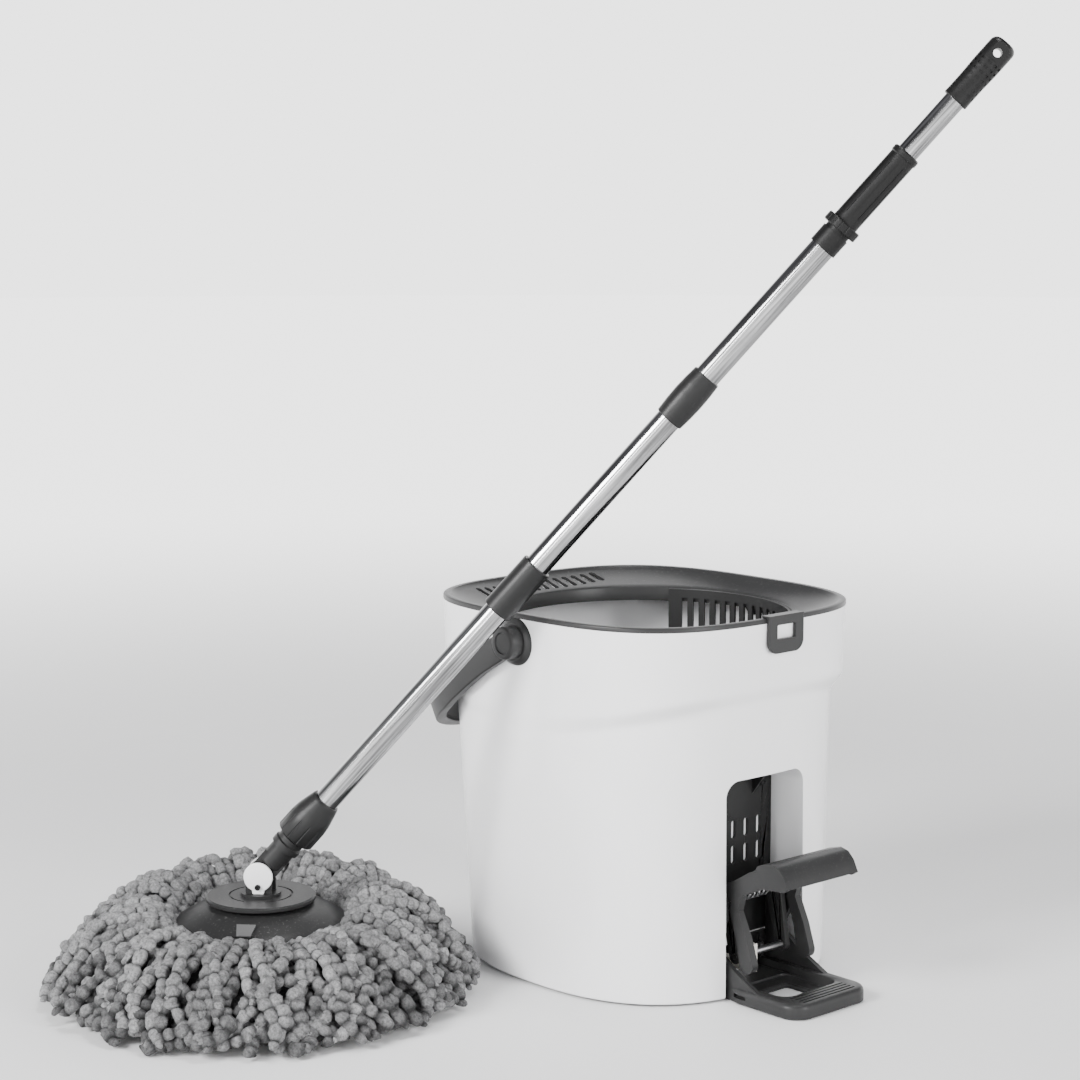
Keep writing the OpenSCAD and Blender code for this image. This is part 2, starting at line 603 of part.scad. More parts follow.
module rib_profile() {
    polygon([[axle_x + 4, axle_z - 3], [axle_x, axle_z + 8], [axle_x + 18, axle_z + 20], [axle_x + 34, axle_z + 30], [axle_x + 50, axle_z + 38], [axle_x + 62, axle_z + 41],
        [axle_x + 70, axle_z + 39], [axle_x + 76, axle_z + 33], [axle_x + 81, axle_z + 23], [axle_x + 77.5, axle_z + 22],
        [axle_x + 72, axle_z + 31], [axle_x + 66, axle_z + 36], [axle_x + 58, axle_z + 36], [axle_x + 44, axle_z + 31],
        [axle_x + 26, axle_z + 19]]);
}
module pedal() color([0.29, 0.29, 0.3]) difference() {
    union() {
        // treadle, narrower neck and the two hinge arms
        intersection() {
            plate_xz(-tread_w / 2, tread_w) rib_profile();
            linear_extrude(300) polygon([[axle_x + 26, -26], [axle_x + 38, -31], [axle_x + 46, -tread_w / 2],
                [axle_x + 74, -tread_w / 2], [axle_x + 90, -tread_w / 2 + 8], [axle_x + 90, tread_w / 2 - 8],
                [axle_x + 74, tread_w / 2], [axle_x + 46, tread_w / 2], [axle_x + 38, 31], [axle_x + 26, 26]]);
        }
        for (s = [-1, 1]) plate_xz(s > 0 ? arm_y - arm_t : -arm_y, arm_t) {
            translate([axle_x, axle_z]) circle(9.5);
            polygon([[axle_x - 2, axle_z + 9.2], [axle_x + 9, axle_z - 3], [axle_x + 30, axle_z + 8],
                [axle_x + 52, axle_z + 18], [axle_x + 58, axle_z + 37], [axle_x + 34, axle_z + 28], [axle_x + 16, axle_z + 17]]);
        }
        // cheeks that close the treadle's ends
        for (s = [-1, 1]) plate_xz(s > 0 ? tread_w / 2 - 3 : -tread_w / 2, 3) polygon([[axle_x + 42, axle_z + 24],
            [axle_x + 46, axle_z + 35], [axle_x + 54, axle_z + 39], [axle_x + 62, axle_z + 41], [axle_x + 70, axle_z + 39],
            [axle_x + 76, axle_z + 33], [axle_x + 81, axle_z + 23], [axle_x + 76, axle_z + 20], [axle_x + 50, axle_z + 18]]);
        // web that joins the arms behind the treadle
        translate([axle_x + 20, -arm_y + 1, axle_z + 12]) rotate([0, -33, 0]) cube([16, 2 * arm_y - 2, 4]);
    }
    rod_y(axle_x, axle_z, axle_r + run_gap, -60, 60);
    // grip grooves across the crown
    for (k = [0 : 2]) translate([axle_x + 51 + 4.6 * k, -tread_w / 2 + 5, axle_z + 38 + 1.2 * k - 0.35 * k * k])
        cube([1.6, tread_w - 10, 8]);
}

module pedal_legs() color([0.25, 0.25, 0.26]) for (s = [-1, 1])
    plate_xz(s > 0 ? arm_y - arm_t : -arm_y, arm_t) difference() {
        union() {
            link([axle_x + 16, axle_z - 8], [axle_x + 26, axle_z - 32], 4.6, 6);
            link([axle_x + 26, axle_z - 32], [axle_x + 31, axle_z - 52], 6, 7.5);
            polygon([[axle_x + 14, axle_z + 2.6], [axle_x + 26, axle_z + 8.3], [axle_x + 21, axle_z - 9], [axle_x + 12, axle_z - 10]]);
        }
        translate([axle_x, axle_z]) circle(9.7);
        polygon([[axle_x - 2, axle_z + 9.2], [axle_x + 9, axle_z - 3], [axle_x + 30, axle_z + 8],
            [axle_x + 30, axle_z + 30], [axle_x, axle_z + 30]]);
    }

module pedal_crank() color([0.24, 0.24, 0.25]) difference() {
    union() {
        for (s = [-1, 1]) plate_xz(s > 0 ? crank_y - crank_t : -crank_y, crank_t)
            link([axle_x, axle_z], [bar_x, bar_z], 9, 6);
        // struts up to the web behind the treadle
        for (s = [-1, 1]) plate_xz(s > 0 ? crank_y - crank_t : -crank_y, crank_t)
            polygon([[axle_x, axle_z - 6], [axle_x + 23, axle_z + 11.5], [axle_x + 18, axle_z + 11.5], [axle_x - 4, axle_z + 6]]);
    }
    rod_y(axle_x, axle_z, axle_r + run_gap, -60, 60);
    rod_y(bar_x, bar_z, bar_r, -60, 60);
}

module crossbar_pin() color("silver") rod_y(bar_x, bar_z, bar_r, -crank_y, crank_y);

// ================================ gear train ====================================
module rack() color([0.9, 0.9, 0.86]) {
    p = PI * gear_module;
    body_y0 = rack_y - 1.05 * gear_module - 7;
    body_y1 = rack_y - 1.05 * gear_module;
    top_y = rack_y + 0.8 * gear_module;
    half_root = p / 4 - backlash / 4 + 1.05 * gear_module * tan(pressure);
    half_tip = p / 4 - backlash / 4 - 0.8 * gear_module * tan(pressure);
    travel = 2 * crank_r * sin(press_angle / 2);
    count = ceil((travel + 14) / p);
    x0 = lay_x - 9;
    difference() {
        union() {
            translate([x0, body_y0, rack_z]) cube([bar_x + 7 - x0, body_y1 - body_y0, rack_t]);
            // upright plate with the slot for the crossbar
            translate([bar_x - 7, body_y0, rack_z]) cube([14, body_y1 - body_y0, bar_z + bar_r + 6 - rack_z]);
            translate([0, 0, rack_z]) linear_extrude(rack_t) for (k = [0 : count - 1])
                let (c = lay_x + p * (k - 1 + 0.5)) polygon([[c - half_root, body_y1 - 0.5], [c + half_root, body_y1 - 0.5],
                    [c + half_root, body_y1], [c + half_tip, top_y], [c - half_tip, top_y], [c - half_root, body_y1]]);
        }
        translate([bar_x - bar_r - 0.3, body_y0 - 1, bar_z - bar_r - 1.2])
            cube([2 * bar_r + 0.6, body_y1 - body_y0 + 2, 2 * bar_r + 2.4]);
    }
}

module lay_gear() color([0.88, 0.88, 0.84]) translate([lay_x, 0, gear_z]) difference() {
    rotate([0, 0, 180 + 180 / lay_teeth]) linear_extrude(gear_t) polygon(gear_points(lay_teeth));
    translate([0, 0, -1]) cylinder(r = post_r + run_gap, h = gear_t + 2);
    for (a = [0 : 60 : 300]) rotate([0, 0, a]) translate([pitch_lay * 0.6, 0, -1]) cylinder(r = 4.5, h = gear_t + 2);
}
module rack_pinion() color([0.85, 0.85, 0.8]) translate([lay_x, 0, 0]) difference() {
    union() {
        translate([0, 0, gear_z + gear_t]) cylinder(r = 7, h = rack_z - 1 - gear_z - gear_t);
        translate([0, 0, rack_z - 1]) rotate([0, 0, 270]) linear_extrude(rack_t + 2) polygon(gear_points(pinion_teeth));
    }
    translate([0, 0, gear_z]) cylinder(r = post_r + run_gap, h = rack_t + 20);
}
module spindle() color("silver") translate([0, 0, gear_z - 1.5]) cylinder(r = spindle_r, h = basket_z + 13 - gear_z + 1.5);
module spindle_gear() color([0.88, 0.88, 0.84]) translate([0, 0, gear_z]) difference() {
    union() {
        linear_extrude(gear_t) polygon(gear_points(pinion_teeth));
        translate([0, 0, gear_t]) cylinder(r = 7.2, h = 10);
    }
    translate([0, 0, -1]) cylinder(r = spindle_r, h = 30);
}

// ================================ basket ========================================
module basket() color([0.3, 0.3, 0.31]) {
    r0 = basket_r - 8;
    t = 2.4;
    difference() {
        translate([0, 0, basket_z]) rotate_extrude() polygon([[16, 0], [r0 - 6, 0], [r0, 5], [basket_r, basket_h - 4],
            [basket_r + 2, basket_h - 4], [basket_r + 2, basket_h], [basket_r - t, basket_h], [r0 - t, 6.5], [r0 - 7, t], [16, t]]);
        for (i = [0 : basket_slots - 1]) rotate([0, 0, 360 * i / basket_slots])
            translate([r0 - 6, -2.5, basket_z + 10]) cube([20, 5, basket_h - 20]);
        for (i = [0 : 11]) rotate([0, 0, 30 * i]) translate([basket_r * 0.55, 0, basket_z - 1]) cylinder(r = 5, h = 6);
    }
}
module basket_hub() color([0.35, 0.35, 0.36]) translate([0, 0, basket_z]) difference() {
    union() {
        translate([0, 0, -4]) cylinder(r = 16, h = 16);
        translate([0, 0, -4]) cylinder(r = 22, h = 4);
    }
    translate([0, 0, -5]) cylinder(r = 10, h = 20);
}
module one_way_clutch() color("silver") tube(10, spindle_r + run_gap, basket_z - 4, basket_z + 11);
module hub_cap() color([0.2, 0.2, 0.21]) translate([0, 0, basket_z + 12]) difference() {
    rotate_extrude() polygon([[0, 0], [16, 0], [16, 3], [11, 7], [0, 8]]);
    translate([0, 0, -1]) cylinder(r = spindle_r + 1, h = 2.6);
}

// ================================ mop pole ======================================
module lower_tube() color([0.75, 0.76, 0.78]) on_pole() tube(tube_r, tube_r - tube_t, collar_lo + 6, sleeve_low - slip);
module middle_tube() color([0.75, 0.76, 0.78]) on_pole() tube(tube_r, tube_r - tube_t, sleeve_low, sleeve_mid - slip);
module upper_tube() color([0.75, 0.76, 0.78]) on_pole() tube(tube_r, tube_r - tube_t, sleeve_mid, tube_top);
module sleeve(at, length, r_end, r_mid) {
    bore = tube_r;
    difference() {
        translate([0, 0, at - length / 2]) rotate_extrude() polygon([[bore, 0], [r_end - 0.5, 0], [r_end, 0.6],
            [mix(r_end, r_mid, 0.7), length * 0.25], [r_mid, length * 0.5], [mix(r_end, r_mid, 0.7), length * 0.75],
            [r_end, length - 0.6], [r_end - 0.5, length], [bore, length]]);
        translate([0, 0, at - length]) cylinder(r = bore, h = 2 * length);
    }
}
module lower_sleeve() color([0.25, 0.25, 0.26]) on_pole() sleeve(sleeve_low, sleeve_l, tube_r + 2.6, tube_r + 2.6);
module barrel_sleeve() color([0.25, 0.25, 0.26]) on_pole() sleeve(sleeve_mid, sleeve_l - 4, tube_r + 1.6, tube_r + 2.8);

ring_t = 8;
module drive_grip() color([0.15, 0.15, 0.16]) on_pole() {
    z0 = tube_top + 3;
    // sleeve pressed on the outer tube, with a split line, then the long grip
    difference() {
        tube(tube_r + 1.4, tube_r, tube_top - 16, tube_top);
        translate([tube_r - 2, -0.4, tube_top - 17]) cube([5, 0.8, 14]);
    }
    tube(tube_r + 0.4, inner_r + run_gap, tube_top, z0 + ring_t + 3);
    difference() {
        translate([0, 0, z0 + ring_t + slip]) rotate_extrude() polygon([[inner_r + run_gap, 0], [tube_r + 0.8, 0],
            [tube_r + 0.6, 3], [tube_r + 0.6, drive_l - ring_t - 6], [tube_r + 1.3, drive_l - ring_t - 5],
            [tube_r + 1.3, drive_l - ring_t - 1.2], [tube_r + 0.4, drive_l - ring_t], [inner_r + run_gap, drive_l - ring_t]]);
        // shallow flutes round the grip
        for (a = [0 : 30 : 330]) rotate([0, 0, a]) translate([tube_r + 0.2, -0.5, z0 + ring_t + 8])
            cube([2, 1, drive_l - ring_t - 20]);
    }
}
module lock_ring() color([0.13, 0.13, 0.14]) on_pole() translate([0, 0, tube_top + 3]) difference() {
    rotate_extrude() polygon([[tube_r + 0.6, 0], [14.4, 0], [15.2, 0.9], [15.2, ring_t - 0.9], [14.4, ring_t],
        [tube_r + 0.6, ring_t]]);
    for (a = [0 : 24 : 359]) rotate([0, 0, a]) translate([15.6, 0, -1]) cylinder(r = 0.9, h = ring_t + 2, $fn = 16);
}
module neck_collar() color([0.22, 0.22, 0.23]) on_pole() difference() {
    translate([0, 0, collar_lo]) rotate_extrude() polygon([[tube_r + slip, 0], [16.6, 0], [17.2, 1], [17.2, 17],
        [16.4, 24], [14.4, 33], [12.6, collar_hi - collar_lo - 1], [12, collar_hi - collar_lo], [tube_r + slip, collar_hi - collar_lo]]);
    for (a = [15 : 30 : 345]) rotate([0, 0, a]) translate([17.6, 0, collar_lo - 1]) cylinder(r = 1, h = 20, $fn = 16);
}
module neck() color([0.26, 0.26, 0.27]) on_pole() difference() {
    union() {
        // tongue with the hinge eye, in the plane of the tilt
        plate_xz(-tongue_y, 2 * tongue_y) {
            circle(11.5);
            translate([-neck_r, 0]) square([2 * neck_r, 20]);
        }
        rotate_extrude() polygon([[0, 12.8], [neck_r - 1, 12.8], [neck_r, 14], [neck_r, 31], [13, 31.6], [13, 37], [11.6, 38],
            [11.6, collar_lo - 2.5], [tube_r - 0.4, collar_lo - 2], [tube_r - 0.4, collar_lo + 2], [tube_r - tube_t, collar_lo + 2],
            [tube_r - tube_t, collar_lo + 46], [0, collar_lo + 46]]);
    }
    rod_y(0, 0, hinge_r + run_gap, -20, 20);
}
module inner_tube() color([0.78, 0.79, 0.81]) on_pole() tube(inner_r, inner_r - tube_t, inner_low, hole_s - 8);
module lock_cam() color([0.9, 0.9, 0.88]) on_pole() difference() {
    translate([0, 0, inner_low - cam_l]) cylinder(r = tube_r - tube_t - slip, h = cam_l);
    for (a = [0 : 90 : 270]) rotate([0, 0, a]) translate([tube_r - tube_t - 1.6, -1.5, inner_low - cam_l - 1]) cube([3, 3, cam_l + 2]);
}
module top_grip() color([0.13, 0.13, 0.14]) on_pole() {
    s0 = pole_tip - grip_l;
    r = inner_r + 2.2;
    difference() {
        translate([0, 0, s0]) rotate_extrude() polygon(concat([[0, 0], [r - 0.6, 0], [r, 0.8], [r - 0.2, 6], [r - 0.2, 20],
            [r + 0.3, 34]], [for (a = [0 : 15 : 90]) [(r + 0.3) - 6 + 6 * cos(a), grip_l - 6 + 6 * sin(a)]], [[0, grip_l]]));
        translate([0, 0, s0 - 1]) cylinder(r = inner_r, h = hole_s - 8 - s0 + 1);
        // flats and the hole to hang it by
        for (s = [-1, 1]) translate([-20, s > 0 ? grip_flat : -grip_flat - 10, hole_s - 7]) cube([40, 10, 20]);
        rod_y(0, hole_s, hole_r, -20, 20);
        // rows of grip dimples
        for (k = [0 : 6], a = [-60 : 30 : 60], s = [0, 180]) rotate([0, 0, 90 + a + s])
            translate([r - 0.6, -1.6, s0 + 8 + k * 5]) cube([3, 3.2, 2]);
    }
}

// ================================ mop head ======================================
module knuckle() color([0.24, 0.24, 0.25]) on_head() difference() {
    union() {
        for (s = [-1, 1]) plate_xz(s > 0 ? cheek_in : -ear_y, cheek_t) {
            circle(11);
            translate([-11, disc_z]) square([22, -disc_z]);
        }
        translate([0, 0, disc_z]) cylinder(r = 17, h = 2.4);
        translate([0, 0, disc_z - 25]) cylinder(r = stem_r, h = 26);
    }
    rod_y(0, 0, hinge_r, -30, 30);
    // hollow between the cheeks for the tongue's eye
    rod_y(0, 0, 11.5 + slip, -cheek_in, cheek_in);
    for (s = [-1, 1]) rod_y(0, -8.2, 1.3, s > 0 ? 0 : -20, s > 0 ? 20 : 0);
    translate([0, 0, disc_z - 26]) cylinder(r = 2, h = 12);
}
module hinge_pin() color("silver") on_head() rod_y(0, 0, hinge_r, -ear_y, ear_y);
module ear_covers() color([0.95, 0.95, 0.95]) on_head() for (s = [-1, 1])
    difference() {
        plate_xz(s > 0 ? ear_y : -ear_y - ear_t, ear_t) {
            circle(12.3);
            translate([-5, disc_z + 2.4]) square([10, 10]);
        }
        rod_y(0, -8.2, 1.3, -30, 30);
    }
module ear_screws() color([0.5, 0.5, 0.5]) on_head() for (s = [0, 180]) rotate([0, 0, s])
    translate([0, -ear_y - ear_t, -8.2]) rotate([90, 0, 0]) screw(2.4, 1.3, 4.8);
module top_disc() color([0.3, 0.3, 0.31]) on_head() translate([0, 0, disc_z]) difference() {
    rotate_extrude() polygon([[stem_r, -5], [disc_r - 2.4, -5], [disc_r, -3.6], [disc_r, -1.4], [disc_r - 1.4, 0],
        [stem_r, 0]]);
    // ring groove, broken at the hinge
    difference() {
        translate([0, 0, -0.9]) cylinder(r = 27, h = 2);
        translate([0, 0, -2]) cylinder(r = 25.4, h = 4);
        translate([-9, -40, -3]) cube([18, 80, 6]);
    }
}
plate_z = disc_z - 7;
module bearing_ring() color("silver") on_head() tube(12, stem_r + run_gap, plate_z - 15, plate_z);
module stem_washer() color("silver") on_head() {
    translate([0, 0, disc_z - 28]) cylinder(r = 14, h = 3);
    translate([0, 0, disc_z - 25 - eps]) cylinder(r = 2, h = 10);
}
module head_plate() color([0.3, 0.3, 0.31]) on_head() translate([0, 0, plate_z]) difference() {
    rotate_extrude() polygon([[12, -16], [12, 0], [disc_r - 2, 0], [disc_r + 8, -3.5], [plate_r - 5, -12.5],
        [plate_r, -18], [plate_r, -23], [plate_r - 3, -23], [plate_r - 4, -18], [disc_r + 6, -7], [disc_r - 4, -3.6],
        [19, -3.6], [19, -16]]);
    for (s = [-1, 1]) rotate([0, 0, s * 90]) translate([disc_r + 7.5, -8, -14]) cube([14, 16, 3.4]);
}
module plate_clips() color([0.8, 0.82, 0.84]) on_head() for (s = [-1, 1]) rotate([0, 0, s * 90])
    translate([disc_r + 16, 0, plate_z - 7.2]) rotate([0, 29.5, 0]) linear_extrude(1.6)
        polygon([[-6.5, -8], [-6.5, 8], [6.5, 6], [6.5, -6]]);
ring_z = plate_z - 27;
module yarn_ring() color([0.6, 0.6, 0.6]) on_head() tube(plate_r - 1, plate_r - 15, ring_z, plate_z - 23);
// The yarn's outer shape; it rests on the floor and rises over the plate's edge
module yarn() color([0.6, 0.6, 0.6]) on_head() translate([0, 0, -hinge_z]) {
    y1 = hinge_z + ring_z - 0.3;
    rotate_extrude($fn = 96) polygon([[0, 0], [yarn_r - 10, 0], [yarn_r - 2, 6], [yarn_r, 18], [yarn_r - 8, 36],
        [yarn_r - 30, 57], [yarn_r - 60, 75], [yarn_r - 84, 83], [plate_r + 10, 81], [plate_r + 3, 70],
        [plate_r + 1, y1], [0, y1]]);
}

bucket_shell();
rim_insert();
splash_guard();
rim_clip();
handle_bushes();
back_panel();
panel_screws();
base_cover();
cover_screws();
rubber_feet();
pedal_base();
pedal_base_screws();
pedal_axle();
axle_clips();
return_spring();
spindle_bushes();
shaft_seal();
lay_post();
rack_guide();
handle();
pedal();
pedal_legs();
pedal_crank();
crossbar_pin();
rack();
lay_gear();
rack_pinion();
spindle();
spindle_gear();
basket();
basket_hub();
one_way_clutch();
hub_cap();
lower_tube();
middle_tube();
upper_tube();
lower_sleeve();
barrel_sleeve();
drive_grip();
neck();
neck_collar();
lock_ring();
inner_tube();
top_grip();
lock_cam();
knuckle();
hinge_pin();
ear_covers();
ear_screws();
top_disc();
stem_washer();
head_plate();
bearing_ring();
plate_clips();
yarn_ring();
yarn();
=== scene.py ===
import math

import bmesh
import bpy
import numpy as np
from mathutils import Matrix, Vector


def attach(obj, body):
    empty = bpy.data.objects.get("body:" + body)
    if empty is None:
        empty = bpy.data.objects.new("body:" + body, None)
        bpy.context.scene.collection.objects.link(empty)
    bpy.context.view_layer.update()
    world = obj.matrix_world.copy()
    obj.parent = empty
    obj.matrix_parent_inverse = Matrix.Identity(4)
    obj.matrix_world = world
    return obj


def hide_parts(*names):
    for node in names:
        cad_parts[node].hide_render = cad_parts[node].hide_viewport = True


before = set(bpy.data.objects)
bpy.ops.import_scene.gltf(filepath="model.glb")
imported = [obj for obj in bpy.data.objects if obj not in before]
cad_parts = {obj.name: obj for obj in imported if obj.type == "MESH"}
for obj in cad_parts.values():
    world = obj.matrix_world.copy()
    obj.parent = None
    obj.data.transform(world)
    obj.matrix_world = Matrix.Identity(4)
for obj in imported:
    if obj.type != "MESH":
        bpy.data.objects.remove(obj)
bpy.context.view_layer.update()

bl_info = {
    "name": "Spin Mop Set Looks",
    "version": (1, 0, 0),
    "blender": (4, 5, 0),
    "location": "3D View > Sidebar > Spin Mop",
    "description": "Builds the visible pieces, finishes and studio of a spin mop and its bucket",
    "category": "Object",
}

MM = 0.001
HORIZON = 3.0  # brightness of the studio where the floor fades into it

# The mop's tilting hinge, in millimetres, and the direction from it up the pole
HINGE = np.array([-135.0, -314.5, 100.0])
POLE_AXIS = (0.491304, 0.441832, 0.750603)


def grey(value):
    """A neutral colour with a trace of blue."""
    return (value, value, value * 1.01, 1.0)


# ------------------------------- settings -------------------------------------
class SpinMopShell(bpy.types.PropertyGroup):
    """Sizes of the bucket and its rim insert"""
    length: bpy.props.FloatProperty(
        name="Length", description="Length over the rim",
        default=320 * MM, subtype="DISTANCE", unit="LENGTH")
    width: bpy.props.FloatProperty(
        name="Width", description="Width over the rim",
        default=299 * MM, subtype="DISTANCE", unit="LENGTH")
    height: bpy.props.FloatProperty(
        name="Height", description="Height of the rim",
        default=320 * MM, subtype="DISTANCE", unit="LENGTH")
    base_length: bpy.props.FloatProperty(
        name="Base length", description="Length at the floor",
        default=292 * MM, subtype="DISTANCE", unit="LENGTH")
    base_width: bpy.props.FloatProperty(
        name="Base width", description="Width at the floor",
        default=276 * MM, subtype="DISTANCE", unit="LENGTH")
    wall: bpy.props.FloatProperty(
        name="Wall", description="Thickness of the moulded wall",
        default=2.8 * MM, subtype="DISTANCE", unit="LENGTH")
    lip: bpy.props.FloatProperty(
        name="Lip", description="Width of the insert's lip",
        default=6 * MM, subtype="DISTANCE", unit="LENGTH")
    mouth: bpy.props.FloatProperty(
        name="Mouth", description="Radius of the round mouth",
        default=126 * MM, subtype="DISTANCE", unit="LENGTH")
    segments: bpy.props.IntProperty(
        name="Segments", description="Points round a lofted outline", default=240, min=48, max=512)


class SpinMopYarn(bpy.types.PropertyGroup):
    """Sizes and lie of the head's yarn"""
    radius: bpy.props.FloatProperty(
        name="Radius", description="Reach of the strands from the head's centre", default=183 * MM,
        subtype="DISTANCE", unit="LENGTH")
    strand: bpy.props.FloatProperty(
        name="Strand", description="Radius of a strand's beads",
        default=5.6 * MM, subtype="DISTANCE", unit="LENGTH")
    bead: bpy.props.FloatProperty(
        name="Bead pitch", description="Distance from bead to bead", default=11.5 * MM,
        subtype="DISTANCE", unit="LENGTH")
    count: bpy.props.IntProperty(
        name="Strands", description="Strands in the top layer", default=78, min=12, max=160)
    sides: bpy.props.IntProperty(
        name="Sides", description="Points round a strand", default=9, min=5, max=16)
    seed: bpy.props.IntProperty(name="Seed", description="Seed of the strands' lie", default=7, min=0)


class SpinMopColours(bpy.types.PropertyGroup):
    """Colours of the plastics, the steel and the yarn"""
    shell: bpy.props.FloatVectorProperty(
        name="Shell", description="White plastic of the bucket and the hinge covers",
        default=grey(0.87), size=4, subtype="COLOR")
    satin: bpy.props.FloatVectorProperty(
        name="Satin", description="Dark plastic of the rim, the handle, the pedal and the basket",
        default=grey(0.025), size=4, subtype="COLOR")
    sleeve: bpy.props.FloatVectorProperty(
        name="Sleeve", description="Plastic of the joint sleeves, the collar and the back panel",
        default=grey(0.013), size=4, subtype="COLOR")
    fitting: bpy.props.FloatVectorProperty(
        name="Fitting", description="Plastic of the neck, the knuckle and the head plate",
        default=grey(0.018), size=4, subtype="COLOR")
    grip: bpy.props.FloatVectorProperty(
        name="Grip", description="Plastic of the grips and the lock ring",
        default=grey(0.004), size=4, subtype="COLOR")
    tube: bpy.props.FloatVectorProperty(
        name="Tube", description="Polished steel of the pole", default=grey(0.46), size=4, subtype="COLOR")
    pile: bpy.props.FloatVectorProperty(
        name="Pile", description="Chenille yarn of the head", default=grey(0.31), size=4, subtype="COLOR")


class SpinMopStage(bpy.types.PropertyGroup):
    """Camera, floor and light"""
    lens: bpy.props.FloatProperty(
        name="Lens", description="Focal length of the camera in millimetres", default=84.05)
    eye: bpy.props.FloatVectorProperty(
        name="Eye", description="Place of the camera", default=(1.5482, -1.51748, 0.66861),
        subtype="TRANSLATION", unit="LENGTH")
    aim: bpy.props.FloatVectorProperty(
        name="Aim", description="Point that the camera looks at", default=(0.23915, -0.3366, 0.42346),
        subtype="TRANSLATION", unit="LENGTH")
    floor: bpy.props.FloatProperty(
        name="Floor", description="Radius of the floor",
        default=14.0, subtype="DISTANCE", unit="LENGTH")
    key: bpy.props.FloatProperty(
        name="Key light", description="Power of the main soft light in watts", default=112.0)


# ------------------------------- mesh helpers ----------------------------------
def make_object(name, vertices, faces, smooth_angle=32):
    """A new object in the scene from points in metres."""
    mesh = bpy.data.meshes.new(name)
    mesh.from_pydata([tuple(v) for v in vertices], [], [tuple(f) for f in faces])
    mesh.validate()
    finish_mesh(mesh, smooth_angle)
    obj = bpy.data.objects.new(name, mesh)
    bpy.context.scene.collection.objects.link(obj)
    return obj


def finish_mesh(mesh, smooth_angle):
    """Shades a mesh smooth, with sharp edges above an angle in degrees."""
    for polygon in mesh.polygons:
        polygon.use_smooth = True
    mesh.set_sharp_from_angle(angle=math.radians(smooth_angle))
    mesh.update()


def ring_faces(first, count, rings, closed=False):
    """Quads between rings of count points each; closed joins the last ring to the first."""
    faces = []
    for j in range(rings if closed else rings - 1):
        a = first + j * count
        b = first + ((j + 1) % rings) * count
        faces += [(a + i, a + (i + 1) % count, b + (i + 1) % count, b + i) for i in range(count)]
    return faces


def loft(name, rings, closed=False, smooth_angle=32):
    """A solid from stacked rings in millimetres, capped unless it closes on itself."""
    rings = [np.asarray(r, float) for r in rings]
    count = len(rings[0])
    faces = ring_faces(0, count, len(rings), closed)
    if not closed:
        faces.append(tuple(range(count))[::-1])
        last = (len(rings) - 1) * count
        faces.append(tuple(range(last, last + count)))
    obj = make_object(name, np.concatenate(rings) * MM, faces, smooth_angle)
    outward(obj)
    return obj


def outward(obj):
    """Turns a closed mesh's faces to look outwards."""
    work = bmesh.new()
    work.from_mesh(obj.data)
    bmesh.ops.recalc_face_normals(work, faces=work.faces)
    if work.calc_volume(signed=True) < 0:
        bmesh.ops.reverse_faces(work, faces=work.faces)
    work.to_mesh(obj.data)
    work.free()


def bake_modifiers(obj, smooth_angle=32):
    """Turns the evaluated shape of obj into its own mesh."""
    graph = bpy.context.evaluated_depsgraph_get()
    mesh = bpy.data.meshes.new_from_object(obj.evaluated_get(graph), depsgraph=graph)
    old = obj.data
    obj.modifiers.clear()
    obj.data = mesh
    bpy.data.meshes.remove(old)
    mesh.name = obj.name
    finish_mesh(mesh, smooth_angle)


def cut(obj, tools, operation="DIFFERENCE", smooth_angle=32):
    """Boolean of obj with each tool in turn; the tools are removed."""
    for tool in tools:
        step = obj.modifiers.new(tool.name, "BOOLEAN")
        step.operation = operation
        step.solver = "EXACT"
        step.object = tool
    bpy.context.view_layer.update()
    bake_modifiers(obj, smooth_angle)
    for tool in tools:
        mesh = tool.data
        bpy.data.objects.remove(tool)
        bpy.data.meshes.remove(mesh)


def block(low, high):
    """A box between two corners in millimetres."""
    (x0, y0, z0), (x1, y1, z1) = low, high
    ring = lambda z: [(x0, y0, z), (x1, y0, z), (x1, y1, z), (x0, y1, z)]
    return loft("block", [ring(z0), ring(z1)])


def drum(centre, radius, low, high, axis="Z", steps=64):
    """A cylinder along one axis, in millimetres; centre gives the other two coordinates."""
    rings = []
    for end in (low, high):
        ring = []
        for i in range(steps):
            t = math.tau * i / steps
            a, b = centre[0] + radius * math.cos(t), centre[1] + radius * math.sin(t)
            ring.append({"Z": (a, b, end), "Y": (a, end, b), "X": (end, a, b)}[axis])
        rings.append(ring)
    return loft("drum", rings)


def arc(x, y, radius, start, step, count):
    """Points round a centre, from a start angle on by a step, both in degrees."""
    turns = [math.radians(start + step * k) for k in range(count)]
    return [(x + radius * math.cos(t), y + radius * math.sin(t)) for t in turns]


def level(points, z):
    """A flat outline lifted to one height."""
    return [(x, y, z) for x, y in points]


def span(side, near, far):
    """Low and high end of a stretch that is mirrored to one side of the middle."""
    return sorted((side * near, side * far))


def show(obj, body, material, slot, *nodes):
    """Gives obj its finish and place in the frame."""
    obj.data.materials.clear()
    obj.data.materials.append(material)
    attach(obj, body)
    if nodes:
        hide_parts(*nodes)
    return obj


